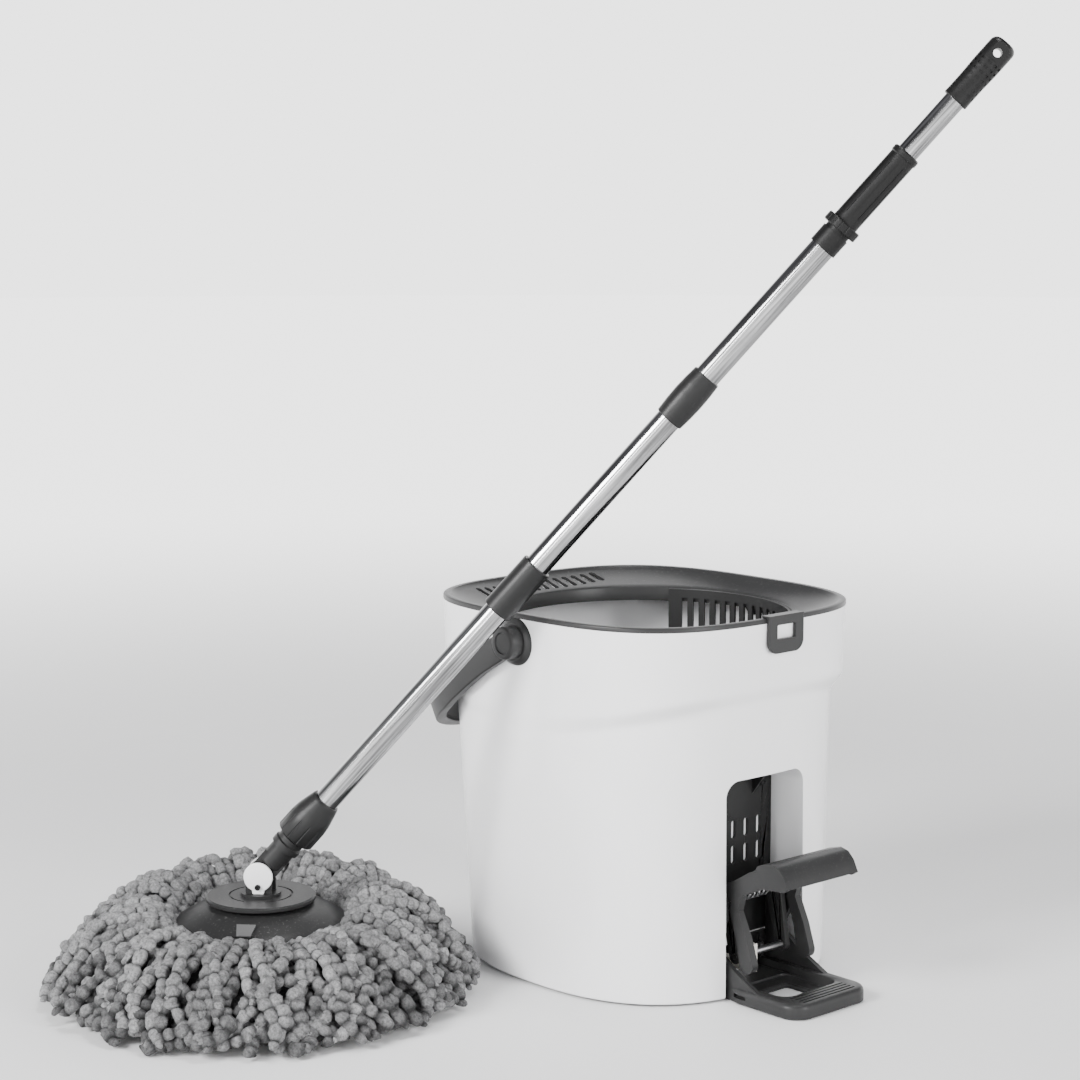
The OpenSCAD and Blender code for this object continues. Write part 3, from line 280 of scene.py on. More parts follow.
# ------------------------------- shader helpers ---------------------------------
class Tree:
    """Short calls for building a node tree."""

    def __init__(self, tree):
        self.tree = tree

    def node(self, kind, values=None, **settings):
        made = self.tree.nodes.new(kind)
        for key, value in settings.items():
            setattr(made, key, value)
        for key, value in (values or {}).items():
            if isinstance(value, bpy.types.NodeSocket):
                self.tree.links.new(value, made.inputs[key])
            else:
                made.inputs[key].default_value = value
        return made

    def math(self, operation, a, b=0.0, clamp=False):
        return self.node("ShaderNodeMath", {0: a, 1: b}, operation=operation, use_clamp=clamp).outputs[0]

    def vector(self, operation, a, b):
        made = self.node("ShaderNodeVectorMath", {0: a, 1: b}, operation=operation)
        return made.outputs["Value" if operation == "DOT_PRODUCT" else "Vector"]

    def scale(self, a, factor):
        made = self.node("ShaderNodeVectorMath", {0: a, "Scale": factor}, operation="SCALE")
        return made.outputs["Vector"]

    def mix(self, factor, a, b, blend="MIX"):
        made = self.node("ShaderNodeMix", data_type="RGBA", blend_type=blend)
        for key, value in ((0, factor), (6, a), (7, b)):
            if isinstance(value, bpy.types.NodeSocket):
                self.tree.links.new(value, made.inputs[key])
            else:
                made.inputs[key].default_value = value
        return made.outputs[2]

    def noise(self, vector, scale, detail=3.0, rough=0.5):
        return self.node("ShaderNodeTexNoise", {
            "Vector": vector, "Scale": scale, "Detail": detail, "Roughness": rough}).outputs["Fac"]

    def remap(self, value, low, high, to_low, to_high):
        made = self.node("ShaderNodeMapRange", {
            "Value": value, "From Min": low, "From Max": high, "To Min": to_low, "To Max": to_high})
        return made.outputs[0]


def effect(name, inputs, outputs, build):
    """A reusable shader effect: inputs and outputs are (name, kind, default)."""
    group = bpy.data.node_groups.new(name, "ShaderNodeTree")
    for label, kind, default in inputs:
        socket = group.interface.new_socket(name=label, in_out="INPUT", socket_type="NodeSocket" + kind)
        if default is not None:
            socket.default_value = default
    for label, kind in outputs:
        group.interface.new_socket(name=label, in_out="OUTPUT", socket_type="NodeSocket" + kind)
    start = group.nodes.new("NodeGroupInput")
    end = group.nodes.new("NodeGroupOutput")
    results = build(Tree(group), start.outputs)
    for (label, _), value in zip(outputs, results):
        group.links.new(value, end.inputs[label])
    return group


def build_moulded(t, i):
    """Moulded plastic: slow flow clouds, fine grain, sparse dust on faces that look up."""
    coords = t.node("ShaderNodeTexCoord")
    where = coords.outputs["Object"]
    clouds = t.noise(where, 14.0, 4.0, 0.55)
    grain = t.noise(where, i["Grain Scale"], 2.0, 0.6)
    up = t.node("ShaderNodeSeparateXYZ", {0: coords.outputs["Normal"]}).outputs["Z"]
    lie = t.remap(up, 0.35, 1.0, 0.0, 1.0)
    specks = t.remap(t.noise(where, 420.0, 2.0, 0.7), 0.60, 0.72, 0.0, 1.0)
    dust = t.math("MULTIPLY", t.math("MULTIPLY", lie, specks), i["Dust"], True)
    shade = t.math("MULTIPLY", t.remap(clouds, 0.3, 0.7, -1.0, 1.0), i["Mottle"])
    tone = t.math("ADD", shade, 1.0)
    tinted = t.scale(i["Color"], tone)
    colour = t.mix(dust, tinted, (0.30, 0.30, 0.29, 1.0))
    uneven = t.math("MULTIPLY", t.math("SUBTRACT", clouds, 0.5), i["Rough Spread"])
    rough = t.math("ADD", i["Roughness"], uneven)
    rough = t.math("ADD", rough, t.math("MULTIPLY", dust, 0.3), True)
    height = t.math("MULTIPLY", grain, i["Grain"])
    return colour, rough, height


def build_drawn(t, i):
    """Drawn metal: fine streaks that run along an axis, with faint handling marks."""
    where = t.node("ShaderNodeTexCoord").outputs["Object"]
    along = t.vector("DOT_PRODUCT", where, i["Axis"])
    across = t.vector("SUBTRACT", where, t.scale(i["Axis"], along))
    drawn_out = t.scale(i["Axis"], t.math("MULTIPLY", along, 9.0))
    stretched = t.vector("ADD", t.scale(across, i["Streak Scale"]), drawn_out)
    streaks = t.noise(stretched, 1.0, 4.0, 0.6)
    marks = t.remap(t.noise(where, 55.0, 5.0, 0.65), 0.5, 0.75, 0.0, 1.0)
    bands = t.remap(streaks, 0.34, 0.66, i["Dark Streak"], 1.12)
    tone = t.math("SUBTRACT", bands, t.math("MULTIPLY", marks, 0.06))
    colour = t.scale(i["Color"], tone)
    rough = t.math("ADD", i["Roughness"], t.math("MULTIPLY", t.math("SUBTRACT", streaks, 0.5), i["Spread"]))
    rough = t.math("ADD", rough, t.math("MULTIPLY", marks, 0.06), True)
    return colour, rough, t.math("MULTIPLY", streaks, i["Depth"])


def build_yarn(t, i):
    """Chenille: short fibres over each bead, a shade that differs from strand to strand, and painted shade
    in the creases between beads and on the lower layers.
    """
    where = t.node("ShaderNodeTexCoord").outputs["Object"]
    shade = t.node("ShaderNodeAttribute", attribute_name="strand_shade").outputs["Fac"]
    crease = t.node("ShaderNodeAttribute", attribute_name="painted_crease_shade").outputs["Fac"]
    fibres = t.noise(where, 1500.0, 3.0, 0.75)
    tufts = t.noise(where, 420.0, 3.0, 0.7)
    tone = t.math("MULTIPLY", t.remap(fibres, 0.25, 0.75, 0.70, 1.30), t.remap(tufts, 0.3, 0.7, 0.50, 1.40))
    tone = t.math("MULTIPLY", tone, t.remap(shade, 0.0, 1.0, 0.66, 1.26))
    # painted shade: darker in the creases between beads and on the lower layers, where shade falls
    tone = t.math("MULTIPLY", tone, t.remap(crease, 0.05, 0.50, 0.10, 1.0))
    colour = t.scale(i["Color"], tone)
    height = t.math("ADD", t.math("MULTIPLY", fibres, 0.6), tufts)
    return colour, t.remap(tufts, 0.3, 0.7, 0.82, 1.0), height


def build_effects():
    """The three shared effects: moulded plastic, drawn metal and chenille."""
    outputs = [("Color", "Color"), ("Roughness", "Float"), ("Height", "Float")]
    moulded = effect("Moulded plastic", [
        ("Color", "Color", (0.8, 0.8, 0.8, 1.0)), ("Roughness", "Float", 0.4),
        ("Rough Spread", "Float", 0.2), ("Mottle", "Float", 0.05), ("Grain Scale", "Float", 900.0),
        ("Grain", "Float", 1.0), ("Dust", "Float", 0.2)], outputs, build_moulded)
    drawn = effect("Drawn metal", [
        ("Color", "Color", (0.7, 0.7, 0.7, 1.0)), ("Roughness", "Float", 0.2), ("Spread", "Float", 0.3),
        ("Streak Scale", "Float", 500.0), ("Dark Streak", "Float", 0.85),
        ("Axis", "Vector", (0.0, 0.0, 1.0)), ("Depth", "Float", 1.0)], outputs, build_drawn)
    yarn = effect("Chenille yarn", [("Color", "Color", (0.3, 0.3, 0.3, 1.0))], outputs, build_yarn)
    return moulded, drawn, yarn


def material(name, effect_group, values, bump=(0.1, 0.0002), **uniform):
    """A Principled material fed by one effect; uniform values go straight on the shader."""
    made = bpy.data.materials.new(name)
    made.use_nodes = True
    t = Tree(made.node_tree)
    shader = made.node_tree.nodes["Principled BSDF"]
    fx = t.node("ShaderNodeGroup", node_tree=effect_group)
    for key, value in values.items():
        fx.inputs[key].default_value = value
    links = made.node_tree.links
    links.new(fx.outputs["Color"], shader.inputs["Base Color"])
    links.new(fx.outputs["Roughness"], shader.inputs["Roughness"])
    strength, distance = bump
    relief = t.node("ShaderNodeBump", {
        "Strength": strength, "Distance": distance, "Height": fx.outputs["Height"]})
    links.new(relief.outputs["Normal"], shader.inputs["Normal"])
    for key, value in uniform.items():
        shader.inputs[key.replace("_", " ")].default_value = value
    made.diffuse_color = values["Color"]
    return made


MATERIALS = {}


def build_materials(colours):
    """Every finish of the set, by its short name."""
    plastic, metal, chenille = build_effects()
    MATERIALS["white"] = material("Glossy white plastic", plastic, {
        "Color": tuple(colours.shell), "Roughness": 0.20, "Rough Spread": 0.10, "Mottle": 0.015,
        "Grain Scale": 260.0, "Dust": 0.10}, (0.05, 0.0004), Coat_Weight=0.35, Coat_Roughness=0.12)
    MATERIALS["dark"] = material("Dark satin plastic", plastic, {
        "Color": tuple(colours.satin), "Roughness": 0.36, "Rough Spread": 0.16, "Mottle": 0.06,
        "Grain Scale": 1100.0, "Dust": 0.16}, (0.16, 0.0003), Specular_IOR_Level=0.22)
    MATERIALS["deep"] = material("Deep grey plastic", plastic, {
        "Color": tuple(colours.sleeve), "Roughness": 0.36, "Rough Spread": 0.16, "Mottle": 0.06,
        "Grain Scale": 900.0, "Dust": 0.12}, (0.14, 0.0003), Specular_IOR_Level=0.22)
    MATERIALS["mid"] = material("Mid grey plastic", plastic, {
        "Color": tuple(colours.fitting), "Roughness": 0.40, "Rough Spread": 0.18, "Mottle": 0.06,
        "Grain Scale": 1000.0, "Dust": 0.20}, (0.16, 0.0003), Specular_IOR_Level=0.22)
    MATERIALS["grip"] = material("Black grained grip", plastic, {
        "Color": tuple(colours.grip), "Roughness": 0.40, "Rough Spread": 0.10, "Mottle": 0.06,
        "Grain Scale": 800.0, "Dust": 0.04}, (0.16, 0.0004), Specular_IOR_Level=0.22)
    MATERIALS["nylon"] = material("Natural nylon", plastic, {
        "Color": (0.74, 0.72, 0.66, 1.0), "Roughness": 0.38, "Rough Spread": 0.14, "Mottle": 0.05,
        "Grain Scale": 800.0, "Dust": 0.05}, (0.10, 0.0003))
    MATERIALS["rubber"] = material("Black rubber", plastic, {
        "Color": grey(0.018), "Roughness": 0.72, "Rough Spread": 0.18, "Mottle": 0.12,
        "Grain Scale": 600.0, "Dust": 0.45}, (0.4, 0.0005))
    MATERIALS["clear"] = material("Frosted clear plastic", plastic, {
        "Color": grey(0.16), "Roughness": 0.20, "Rough Spread": 0.16, "Mottle": 0.05,
        "Grain Scale": 500.0, "Dust": 0.10}, (0.10, 0.0003), Transmission_Weight=0.35)
    MATERIALS["tube"] = material("Polished drawn tube", metal, {
        "Color": tuple(colours.tube), "Roughness": 0.13, "Spread": 0.10, "Streak Scale": 430.0,
        "Dark Streak": 0.26, "Axis": POLE_AXIS, "Depth": 1.0}, (0.04, 0.0001), Metallic=1.0)
    MATERIALS["zinc"] = material("Zinc plated steel", metal, {
        "Color": grey(0.50), "Roughness": 0.32, "Spread": 0.30, "Streak Scale": 420.0,
        "Axis": (0.0, 1.0, 0.0), "Depth": 1.0}, (0.12, 0.0001), Metallic=1.0)
    MATERIALS["yarn"] = material("Grey chenille yarn", chenille, {
        "Color": tuple(colours.pile)}, (1.0, 0.0030), Sheen_Weight=0.04, Sheen_Roughness=0.5,
        Specular_IOR_Level=0.1)


class SPINMOP_OT_materials(bpy.types.Operator):
    """Mixes every finish of the set from the chosen colours"""
    bl_idname = "spinmop.materials"
    bl_label = "Mix finishes"

    def execute(self, context):
        build_materials(context.scene.spin_mop_colours)
        return {"FINISHED"}


# ------------------------------- bucket outline ----------------------------------
class Outline:
    """The bucket's outer wall: half length, half width, squareness and centre at each height."""

    LEDGE, LEDGE_TOP = 248.0, 261.0  # heights of the shoulder's foot and top
    TAPER_A, TAPER_B = 3.0, 1.8  # fall of the half length and half width from the rim to the shoulder
    LEDGE_IN, LEDGE_SIDE = 8.6, 1.6  # step of the shoulder at the ends and at the sides
    DIP = 26.0  # sag of the shoulder at the sides
    SHIFT = 6.0  # place of the base's centre along X
    RIM_POWER, WAIST_POWER, BASE_POWER = 3.1, 2.8, 2.6

    def __init__(self, shell):
        """Takes the bucket's sizes from the settings."""
        self.rim = (shell.length / MM / 2, shell.width / MM / 2)
        self.base = (shell.base_length / MM / 2, shell.base_width / MM / 2)
        self.height = shell.height / MM
        self.segments = shell.segments
        turn = np.linspace(0, math.tau, 4096, endpoint=False)
        self.cos, self.sin = np.cos(turn), np.sin(turn)

    def half(self, z, side):
        """Half length (side 0) or half width (side 1) at a height."""
        rim, base = self.rim[side], self.base[side]
        taper = (self.TAPER_A, self.TAPER_B)[side]
        waist = rim - taper - (self.LEDGE_IN, self.LEDGE_SIDE)[side]
        return np.interp(z, [0, self.LEDGE, self.LEDGE_TOP, self.height], [base, waist, rim - taper, rim])

    def ring(self, z, inset=0.0, sunk=0.0, blur=2.0):
        """One ring; blur rounds the shoulder's corners over that height."""
        near = np.linspace(z - blur, z + blur, 9)
        a, b = (float(np.mean(self.half(near, side))) - inset for side in (0, 1))
        powers = [self.BASE_POWER, self.WAIST_POWER, self.RIM_POWER]
        power = np.interp(z, [0, self.LEDGE, self.LEDGE_TOP], powers)
        centre = np.interp(z, [0, self.LEDGE], [self.SHIFT, 0])
        return self.even(a, b, power, centre, z, sunk)

    def even(self, a, b, power, centre, z, sunk=0.0):
        """A squared oval with its points spaced evenly along it."""
        x = centre + a * np.sign(self.cos) * np.abs(self.cos) ** (2 / power)
        y = b * np.sign(self.sin) * np.abs(self.sin) ** (2 / power)
        height = z - sunk * self.DIP * (1 - np.abs(self.cos) ** 1.2)
        step = np.hypot(np.diff(x, append=x[0]), np.diff(y, append=y[0]))
        run = np.concatenate([[0], np.cumsum(step)])
        at = np.linspace(0, run[-1], self.segments, endpoint=False)
        close = lambda v: np.interp(at, run, np.append(v, v[0]))
        return np.stack([close(x), close(y), close(height)], axis=1)


# Pedal bay: half width, height, back wall and corner radius
BAY_Y, BAY_H, BAY_X, BAY_ROUND = 47.0, 185.0, 108.0, 14.0
# Well's floor, and the tower round the spindle with its bore
FLOOR_TOP, TOWER_R, TOWER_TOP, BUSH_R = 40.0, 13.0, 193.0, 9.0
# Round mouth: centre along X, drop of the deck below the rim, thickness and height of the hanging band
MOUTH_X, DECK_DROP, MOUTH_T, MOUTH_BAND = 4.0, 13.0, 2.4, 10.0
# Handle's pivot: height, radius of the hub, and depth of the flat spot behind it
PIVOT_Z, HUB_R, SPOT_IN = 296.0, 16.0, 1.6
# Drain slots: number, spacing, and distance of the middle ones from the rim's end
SLOTS, SLOT_PITCH, SLOT_EDGE = 14, 10.6, 12.0


def bay_tool(grow):
    """The pedal's bay with its rounded top corners, grown by a wall."""
    half, top, corner = BAY_Y + grow, BAY_H + grow, BAY_ROUND
    points = [(-half, -5.0), (half, -5.0)]
    for centre, start in ((half - corner, 0.0), (corner - half, 90.0)):
        points += arc(centre, top - corner, corner, start, 7.5, 13)
    rings = [[(x, y, z) for y, z in points] for x in (BAY_X - grow, 175.0)]
    return loft("bay", rings)


class SPINMOP_OT_bucket(bpy.types.Operator):
    """Builds the white bucket's one-piece shell with its well, tower and pedal bay"""
    bl_idname = "spinmop.bucket"
    bl_label = "Build bucket shell"

    def execute(self, context):
        shell = context.scene.spin_mop_shell
        line = Outline(shell)
        wall = shell.wall / MM
        top = line.height - 4.0
        # Heights of the rings, each with its share of the shoulder's sag
        heights = [(3.2, 0), (6, 0), (40, 0), (80, 0), (120, 0), (160, 0), (200, 0), (225, 0.6)]
        heights += [(z, 1) for z in (238, 243, 246, 249, 252, 256, 259, 262, 265)]
        heights += [(270, 0.75), (285, 0.45), (300, 0.2), (top, 0)]
        outer = [line.ring(2.0, 0.8)] + [line.ring(z, 0, sunk) for z, sunk in heights]
        body = loft("bucket_wall", outer)
        # Inside, the wall curves into the well's floor
        inner_heights = [(FLOOR_TOP, 7.0, 0), (FLOOR_TOP + 2, 3.2, 0), (FLOOR_TOP + 6, 0, 0)]
        inner_heights += [(100, 0, 0), (180, 0, 0)]
        inner_heights += [(z, 0, 1) for z in (243, 248, 254, 260, 265)]
        inner_heights += [(285, 0, 0.45), (top + 4, 0, 0)]
        well = loft("well", [line.ring(z, wall + tuck, sunk) for z, tuck, sunk in inner_heights])
        cut(well, [bay_tool(wall), drum((0, 0), TOWER_R, 30, TOWER_TOP)])
        under = loft("under", [line.ring(-1, wall), line.ring(FLOOR_TOP - wall, wall)])
        cut(under, [bay_tool(wall)])
        holes = [drum((0, 0), BUSH_R, FLOOR_TOP - wall - 1, TOWER_TOP + 2)]
        holes += [block((BAY_X - wall - 1, -22, 14), (BAY_X + 1, 4, 30))]
        spot = line.rim[1] - SPOT_IN
        for side in (-1, 1):
            holes.append(drum((0, PIVOT_Z), HUB_R + 5, *span(side, spot, spot + 9), "Y"))
            holes.append(drum((0, PIVOT_Z), HUB_R - 6, *span(side, spot - 12, spot + 1), "Y"))
        cut(body, [well, under, bay_tool(0)] + holes, smooth_angle=28)
        show(body, "bucket", MATERIALS["white"], "white_plastic", "bucket_shell")
        return {"FINISHED"}


class SPINMOP_OT_insert(bpy.types.Operator):
    """Builds the dark rim insert: lip, sloping deck with drain slots, and the mouth's band"""
    bl_idname = "spinmop.insert"
    bl_label = "Build rim insert"

    def execute(self, context):
        shell = context.scene.spin_mop_shell
        line = Outline(shell)
        line.segments = 256
        rim_a, rim_b = line.rim
        top, lip = line.height, shell.lip / MM
        mouth = shell.mouth / MM
        deck = top - DECK_DROP

        def edge(inset, z):
            """The rim's outline, drawn in by an inset."""
            return line.even(rim_a - inset, rim_b - inset, line.RIM_POWER, 0.0, z)

        def circle(radius, z):
            """The mouth's circle, with its points facing those of the rim."""
            ring = edge(lip, z)
            angle = np.arctan2(ring[:, 1], ring[:, 0] - MOUTH_X)
            x, y = MOUTH_X + radius * np.cos(angle), radius * np.sin(angle)
            return np.stack([x, y, np.full(len(ring), z)], axis=1)

        def between(a, b, share, sag):
            """A ring part of the way from one to the other, let down by a sag."""
            mixed = a * (1 - share) + b * share
            mixed[:, 2] -= sag
            return mixed

        inner = edge(lip, top - 0.9)
        rolled = circle(mouth + 1.5, deck + 0.5)
        under = deck - MOUTH_T
        rings = [edge(0, top - 4), edge(0, top - 1.4), edge(0.4, top - 0.5), edge(1.3, top),
                 edge(lip - 1.3, top), edge(lip - 0.4, top - 0.3), inner,
                 between(inner, rolled, 0.12, 1.2), between(inner, rolled, 0.5, 1.6),
                 between(inner, rolled, 0.85, 0.7), rolled,
                 circle(mouth + 0.5, deck - 0.2), circle(mouth, deck - 1.2),
                 circle(mouth, under - MOUTH_BAND), circle(mouth + MOUTH_T, under - MOUTH_BAND),
                 circle(mouth + MOUTH_T, under - 1.6), edge(lip + 0.5, top - 4.6), edge(lip + 0.5, top - 4)]
        body = loft("insert_deck", rings, closed=True)
        slots = []
        for k in range(SLOTS):
            y = (k - (SLOTS - 1) / 2) * SLOT_PITCH
            x = -rim_a + SLOT_EDGE + abs(y) * 0.09
            slots.append(drain_slot(x, y, deck))
        cut(body, slots, smooth_angle=30)
        show(body, "bucket", MATERIALS["dark"], "dark_plastic", "rim_insert")
        return {"FINISHED"}


def drain_slot(x, y, deck, length=19.5, half=3.0):
    """A round-ended slot through the deck, across the rim."""
    points = []
    for centre, start in ((x + length - half, -90.0), (x + half, 90.0)):
        points += arc(centre, y, half, start, 22.5, 9)
    return loft("slot", [level(points, z) for z in (deck - 12, deck + 30)])


# ------------------------------- foot plate ------------------------------------------
# Pedal's axle: its place in X and Z, and its radius
AXLE_X, AXLE_Z, AXLE_R = 132.0, 84.0, 4.0
# Side rails: outer face and thickness; plate: height, front end, and its end at the back panel
RAIL_Y, RAIL_T, FOOT_H, TOE_X, PANEL_X = 43.5, 4.5, 13.0, 228.0, 111.0
# Toe ribs: the near edge of each groove, half its length, its width and depth
GROOVES, GROOVE_Y, GROOVE_W, GROOVE_T = (206.5, 211.0, 215.5, 220.0), 31.5, 1.8, 1.2


def round_box(x0, x1, half, corner, steps=8):
    """Outline of a rounded rectangle that is centred on Y."""
    points = []
    for cx, cy, start in ((x1, half, 0), (x0, half, 90), (x0, -half, 180), (x1, -half, 270)):
        ox, oy = cx - math.copysign(corner, cx - (x0 + x1) / 2), cy - math.copysign(corner, cy)
        points += arc(ox, oy, corner, start, 90 / steps, steps + 1)
    return points


def foot_outline(inset):
    """Outline of the foot plate, with its rounded toe, drawn in by an inset."""
    radius, y, x1 = 18 - inset, RAIL_Y + 3 - inset, TOE_X - inset
    points = [(150, -RAIL_Y + inset), (162, -y)]
    for sign, first in ((-1, -90), (1, 0)):
        points += arc(x1 - radius, sign * (y - radius), radius, first, 7.5, 13)
    points += [(162, y), (150, RAIL_Y - inset)]
    return points + [(PANEL_X, RAIL_Y - inset), (PANEL_X, -RAIL_Y + inset)]


def side_plate(outline, low, high, soft=0.7):
    """A plate across Y from an outline in X and Z, with its edges softened."""
    outline = np.array(outline, float)
    middle = outline.mean(axis=0)
    reach = np.abs(outline - middle).max()
    rings = []
    for y, inset in ((low, soft), (low + soft, 0), (high - soft, 0), (high, soft)):
        flat = middle + (outline - middle) * (1 - inset / reach)
        rings.append([(x, y, z) for x, z in flat])
    return loft("plate", rings)


class SPINMOP_OT_foot(bpy.types.Operator):
    """Builds the foot plate with its rounded frame, recess, window, toe ribs and axle rails"""
    bl_idname = "spinmop.foot"
    bl_label = "Build foot plate"

    def execute(self, context):
        levels = ((0.3, 0.9), (1.2, 0.0), (8.6, 0.0), (10.6, 0.5), (12.0, 1.6), (12.7, 2.9), (FOOT_H, 4.6))
        body = loft("foot_plate", [level(foot_outline(inset), z) for z, inset in levels])
        rail = [(PANEL_X + 1, 2), (PANEL_X + 1, AXLE_Z - 4), (AXLE_X - 10, AXLE_Z + 2),
                (AXLE_X + 10, AXLE_Z + 2), (AXLE_X + 12, AXLE_Z - 16), (AXLE_X + 2, AXLE_Z - 34),
                (AXLE_X + 5, 38), (AXLE_X + 24, 25), (AXLE_X + 50, FOOT_H - 1), (AXLE_X + 50, 2)]
        added = []
        for side in (-1, 1):
            low, high = span(side, RAIL_Y - RAIL_T, RAIL_Y)
            added.append(side_plate(rail, low, high))
            added.append(drum((AXLE_X, AXLE_Z), 10, low, high, "Y"))
            low, high = span(side, 24.0, 42.0)  # the screwed tab on the bay's back wall
            added.append(block((108.3, low, 2), (111.8, high, 36)))
        cut(body, added, "UNION")
        # Recess and window, each as heights with the inset of its rounded outline there
        dish = ((15.0, -3.0), (13.2, -2.2), (12.2, -0.6), (11.0, 0.0), (6.4, 1.0), (5.0, 2.0), (4.5, 3.4))
        window = ((15.0, 0.0), (5.4, 0.0), (4.4, -0.9), (3.4, 0.0), (-2.0, 0.0))
        removed = [loft("dish", [level(round_box(142 + i, 202 - i, 33 - i, 10 - i), z) for z, i in dish])]
        removed.append(loft("window", [level(round_box(159 + i, 193 - i, 17 - i, 3 - i), z)
                                       for z, i in window]))
        removed.append(block((PANEL_X - 1, -33, 6.5), (160, 33, 34)))
        for x in GROOVES:
            removed.append(block((x, -GROOVE_Y, FOOT_H - GROOVE_T), (x + GROOVE_W, GROOVE_Y, FOOT_H + 3)))
        removed.append(drum((AXLE_X, AXLE_Z), AXLE_R, -60, 60, "Y"))
        for side in (-1, 1):
            low, high = span(side, RAIL_Y - 2, RAIL_Y + 4)  # the slot in the side
            removed.append(block((156, low, 5), (170, high, 8.5)))
            removed.append(drum((side * 33.0, 24.0), 2.0, 107, 116, "X"))  # the tab's screw hole
        cut(body, removed, smooth_angle=34)
        show(body, "bucket", MATERIALS["dark"], "dark_plastic", "pedal_base")
        return {"FINISHED"}


# ------------------------------- carrying handle -----------------------------------------
# Reach and half width of the band's inner and outer face, and the squareness of its bend
GRIP_IN, ARM_IN, GRIP_OUT, ARM_OUT, BEND_POWER = 182.0, 152.5, 193.0, 159.5, 3.2
HANG = math.radians(29.0)  # angle of the resting handle below the horizontal


class SPINMOP_OT_handle(bpy.types.Operator):
    """Builds the carrying handle: a rounded channel bent round the bucket, and its two hubs"""
    bl_idname = "spinmop.handle"
    bl_label = "Build carrying handle"

    def execute(self, context):
        stations = np.linspace(math.pi / 2, math.pi * 1.5, 161)
        squash = 2 / BEND_POWER
        rings = []
        for t in stations:
            c, n = -abs(math.cos(t)) ** squash, math.copysign(abs(math.sin(t)) ** squash, math.sin(t))
            inner = np.array([GRIP_IN * c, ARM_IN * n])
            outer = np.array([GRIP_OUT * c, ARM_OUT * n])
            half = float(np.interp(-inner[0], [0, 40, 110], [11.0, 11.5, 17.5]))
            depth = float(np.interp(-inner[0], [92, 102], [0.0, 1.0])) * 0.68
            share_z = self.section(half, depth)
            rings.append([(*(inner + (outer - inner) * share), z) for share, z in share_z])
        body = loft("handle_band", [self.hang(r) for r in rings], smooth_angle=38)
        # Turned profile of a hub: radius and distance from the middle
        profile = ((14.0, ARM_IN), (14.0, 161.6), (13.5, 162.8), (12.4, 163.5), (9.2, 163.5), (8.6, 162.4))
        turn = np.linspace(0, math.tau, 64, endpoint=False)
        hubs = []
        for side in (-1, 1):
            hub = []
            for radius, y in profile:
                hub.append([(radius * math.cos(a), side * y, PIVOT_Z + radius * math.sin(a)) for a in turn])
            hubs.append(loft("hub", hub))
            hubs.append(drum((0, PIVOT_Z), 6.0, *span(side, 140.0, 153.5), "Y"))
        cut(body, hubs, "UNION", smooth_angle=38)
        show(body, "handle", MATERIALS["dark"], "dark_plastic", "handle")
        return {"FINISHED"}

    def section(self, half, depth):
        """The band's section as (share of the thickness, height), a C that opens inwards."""
        lip, soft = 3.5, 1.6
        points = [(0.0, -half + 0.6), (0.0, -half + lip), (depth, -half + lip + 0.4)]
        points += [(depth, half - lip - 0.4), (0.0, half - lip), (0.0, half - 0.6), (0.06, half)]
        for k in range(5):
            t = math.radians(90 - 22.5 * k)
            points.append((0.82 + 0.18 * math.cos(t), half - soft + soft * math.sin(t)))
        for k in range(5):
            t = math.radians(-22.5 * k)
            points.append((0.82 + 0.18 * math.cos(t), -half + soft + soft * math.sin(t)))
        return points + [(0.06, -half)]

    def hang(self, ring):
        """Turns a ring of the level handle down about its pivot."""
        c, s = math.cos(HANG), math.sin(HANG)
        return [(x * c - z * s, y, PIVOT_Z + x * s + z * c) for x, y, z in ring]


# ------------------------------- yarn --------------------------------------------
LAYERS = (
    # name, share of the strand count, start radius and height, crown radius and height, end height, painted
    # shade of the layer (lower layers darker)
    ("yarn_top", 1.0, 69.0, 56.0, 101.0, 76.0, 10.0, 1.0),
    ("yarn_middle", 1.15, 69.0, 53.0, 108.0, 65.0, 8.0, 0.38),
    ("yarn_under", 1.3, 69.0, 50.0, 112.0, 52.0, 6.0, 0.26),
)
LOW_SIDE = -0.80  # heading, in radians, where the pile is pressed lowest


def strand_path(layer, turn, dice, reach, steps):
    """A strand's centre line in millimetres, from under the plate, over the crown, to the floor."""
    start, low, crown, height, end = layer[2:7]
    pile = -math.cos(turn - LOW_SIDE)
    height += 11.0 * pile + dice.uniform(-5.0, 5.0)
    crown += dice.uniform(-8, 8)
    reach += dice.uniform(-22, 0)
    droop = dice.uniform(1.35, 2.2)
    s = np.linspace(0, 1, 240)
    first = 0.22
    u = np.clip(s / first, 0, 1)
    v = np.clip((s - first) / (1 - first), 0, 1)
    radius = np.where(s < first, start + (crown - start) * u, crown + (reach - crown) * v ** 0.9)
    rise = low + (height - low) * np.sin(u * math.pi / 2)
    fall = end + (height - end) * (1 - v ** droop)
    z = np.where(s < first, rise, fall)
    angle = turn + dice.normal(0, 0.10) * v
    for beats in (1.3, 2.9, 5.3):
        wave = np.sin(s * math.pi * beats * dice.uniform(0.8, 1.2) + dice.uniform(0, math.tau))
        angle = angle + dice.normal(0, 0.045) * wave * v * 2.2 / beats ** 0.6
        z = z + dice.normal(0, 3.4) * wave * v * (1 - v * 0.6) / beats ** 0.3
    curl = dice.choice((-1, 1)) * dice.uniform(0.0, 0.13)
    angle = angle + curl * np.clip((v - 0.80) / 0.20, 0, 1) ** 2
    points = np.stack([radius * np.cos(angle), radius * np.sin(angle), np.maximum(z, end - 1)], axis=1)
    run = np.concatenate([[0], np.cumsum(np.linalg.norm(np.diff(points, axis=0), axis=1))])
    at = np.arange(0, run[-1], steps)
    return np.stack([np.interp(at, run, points[:, k]) for k in range(3)], axis=1), at


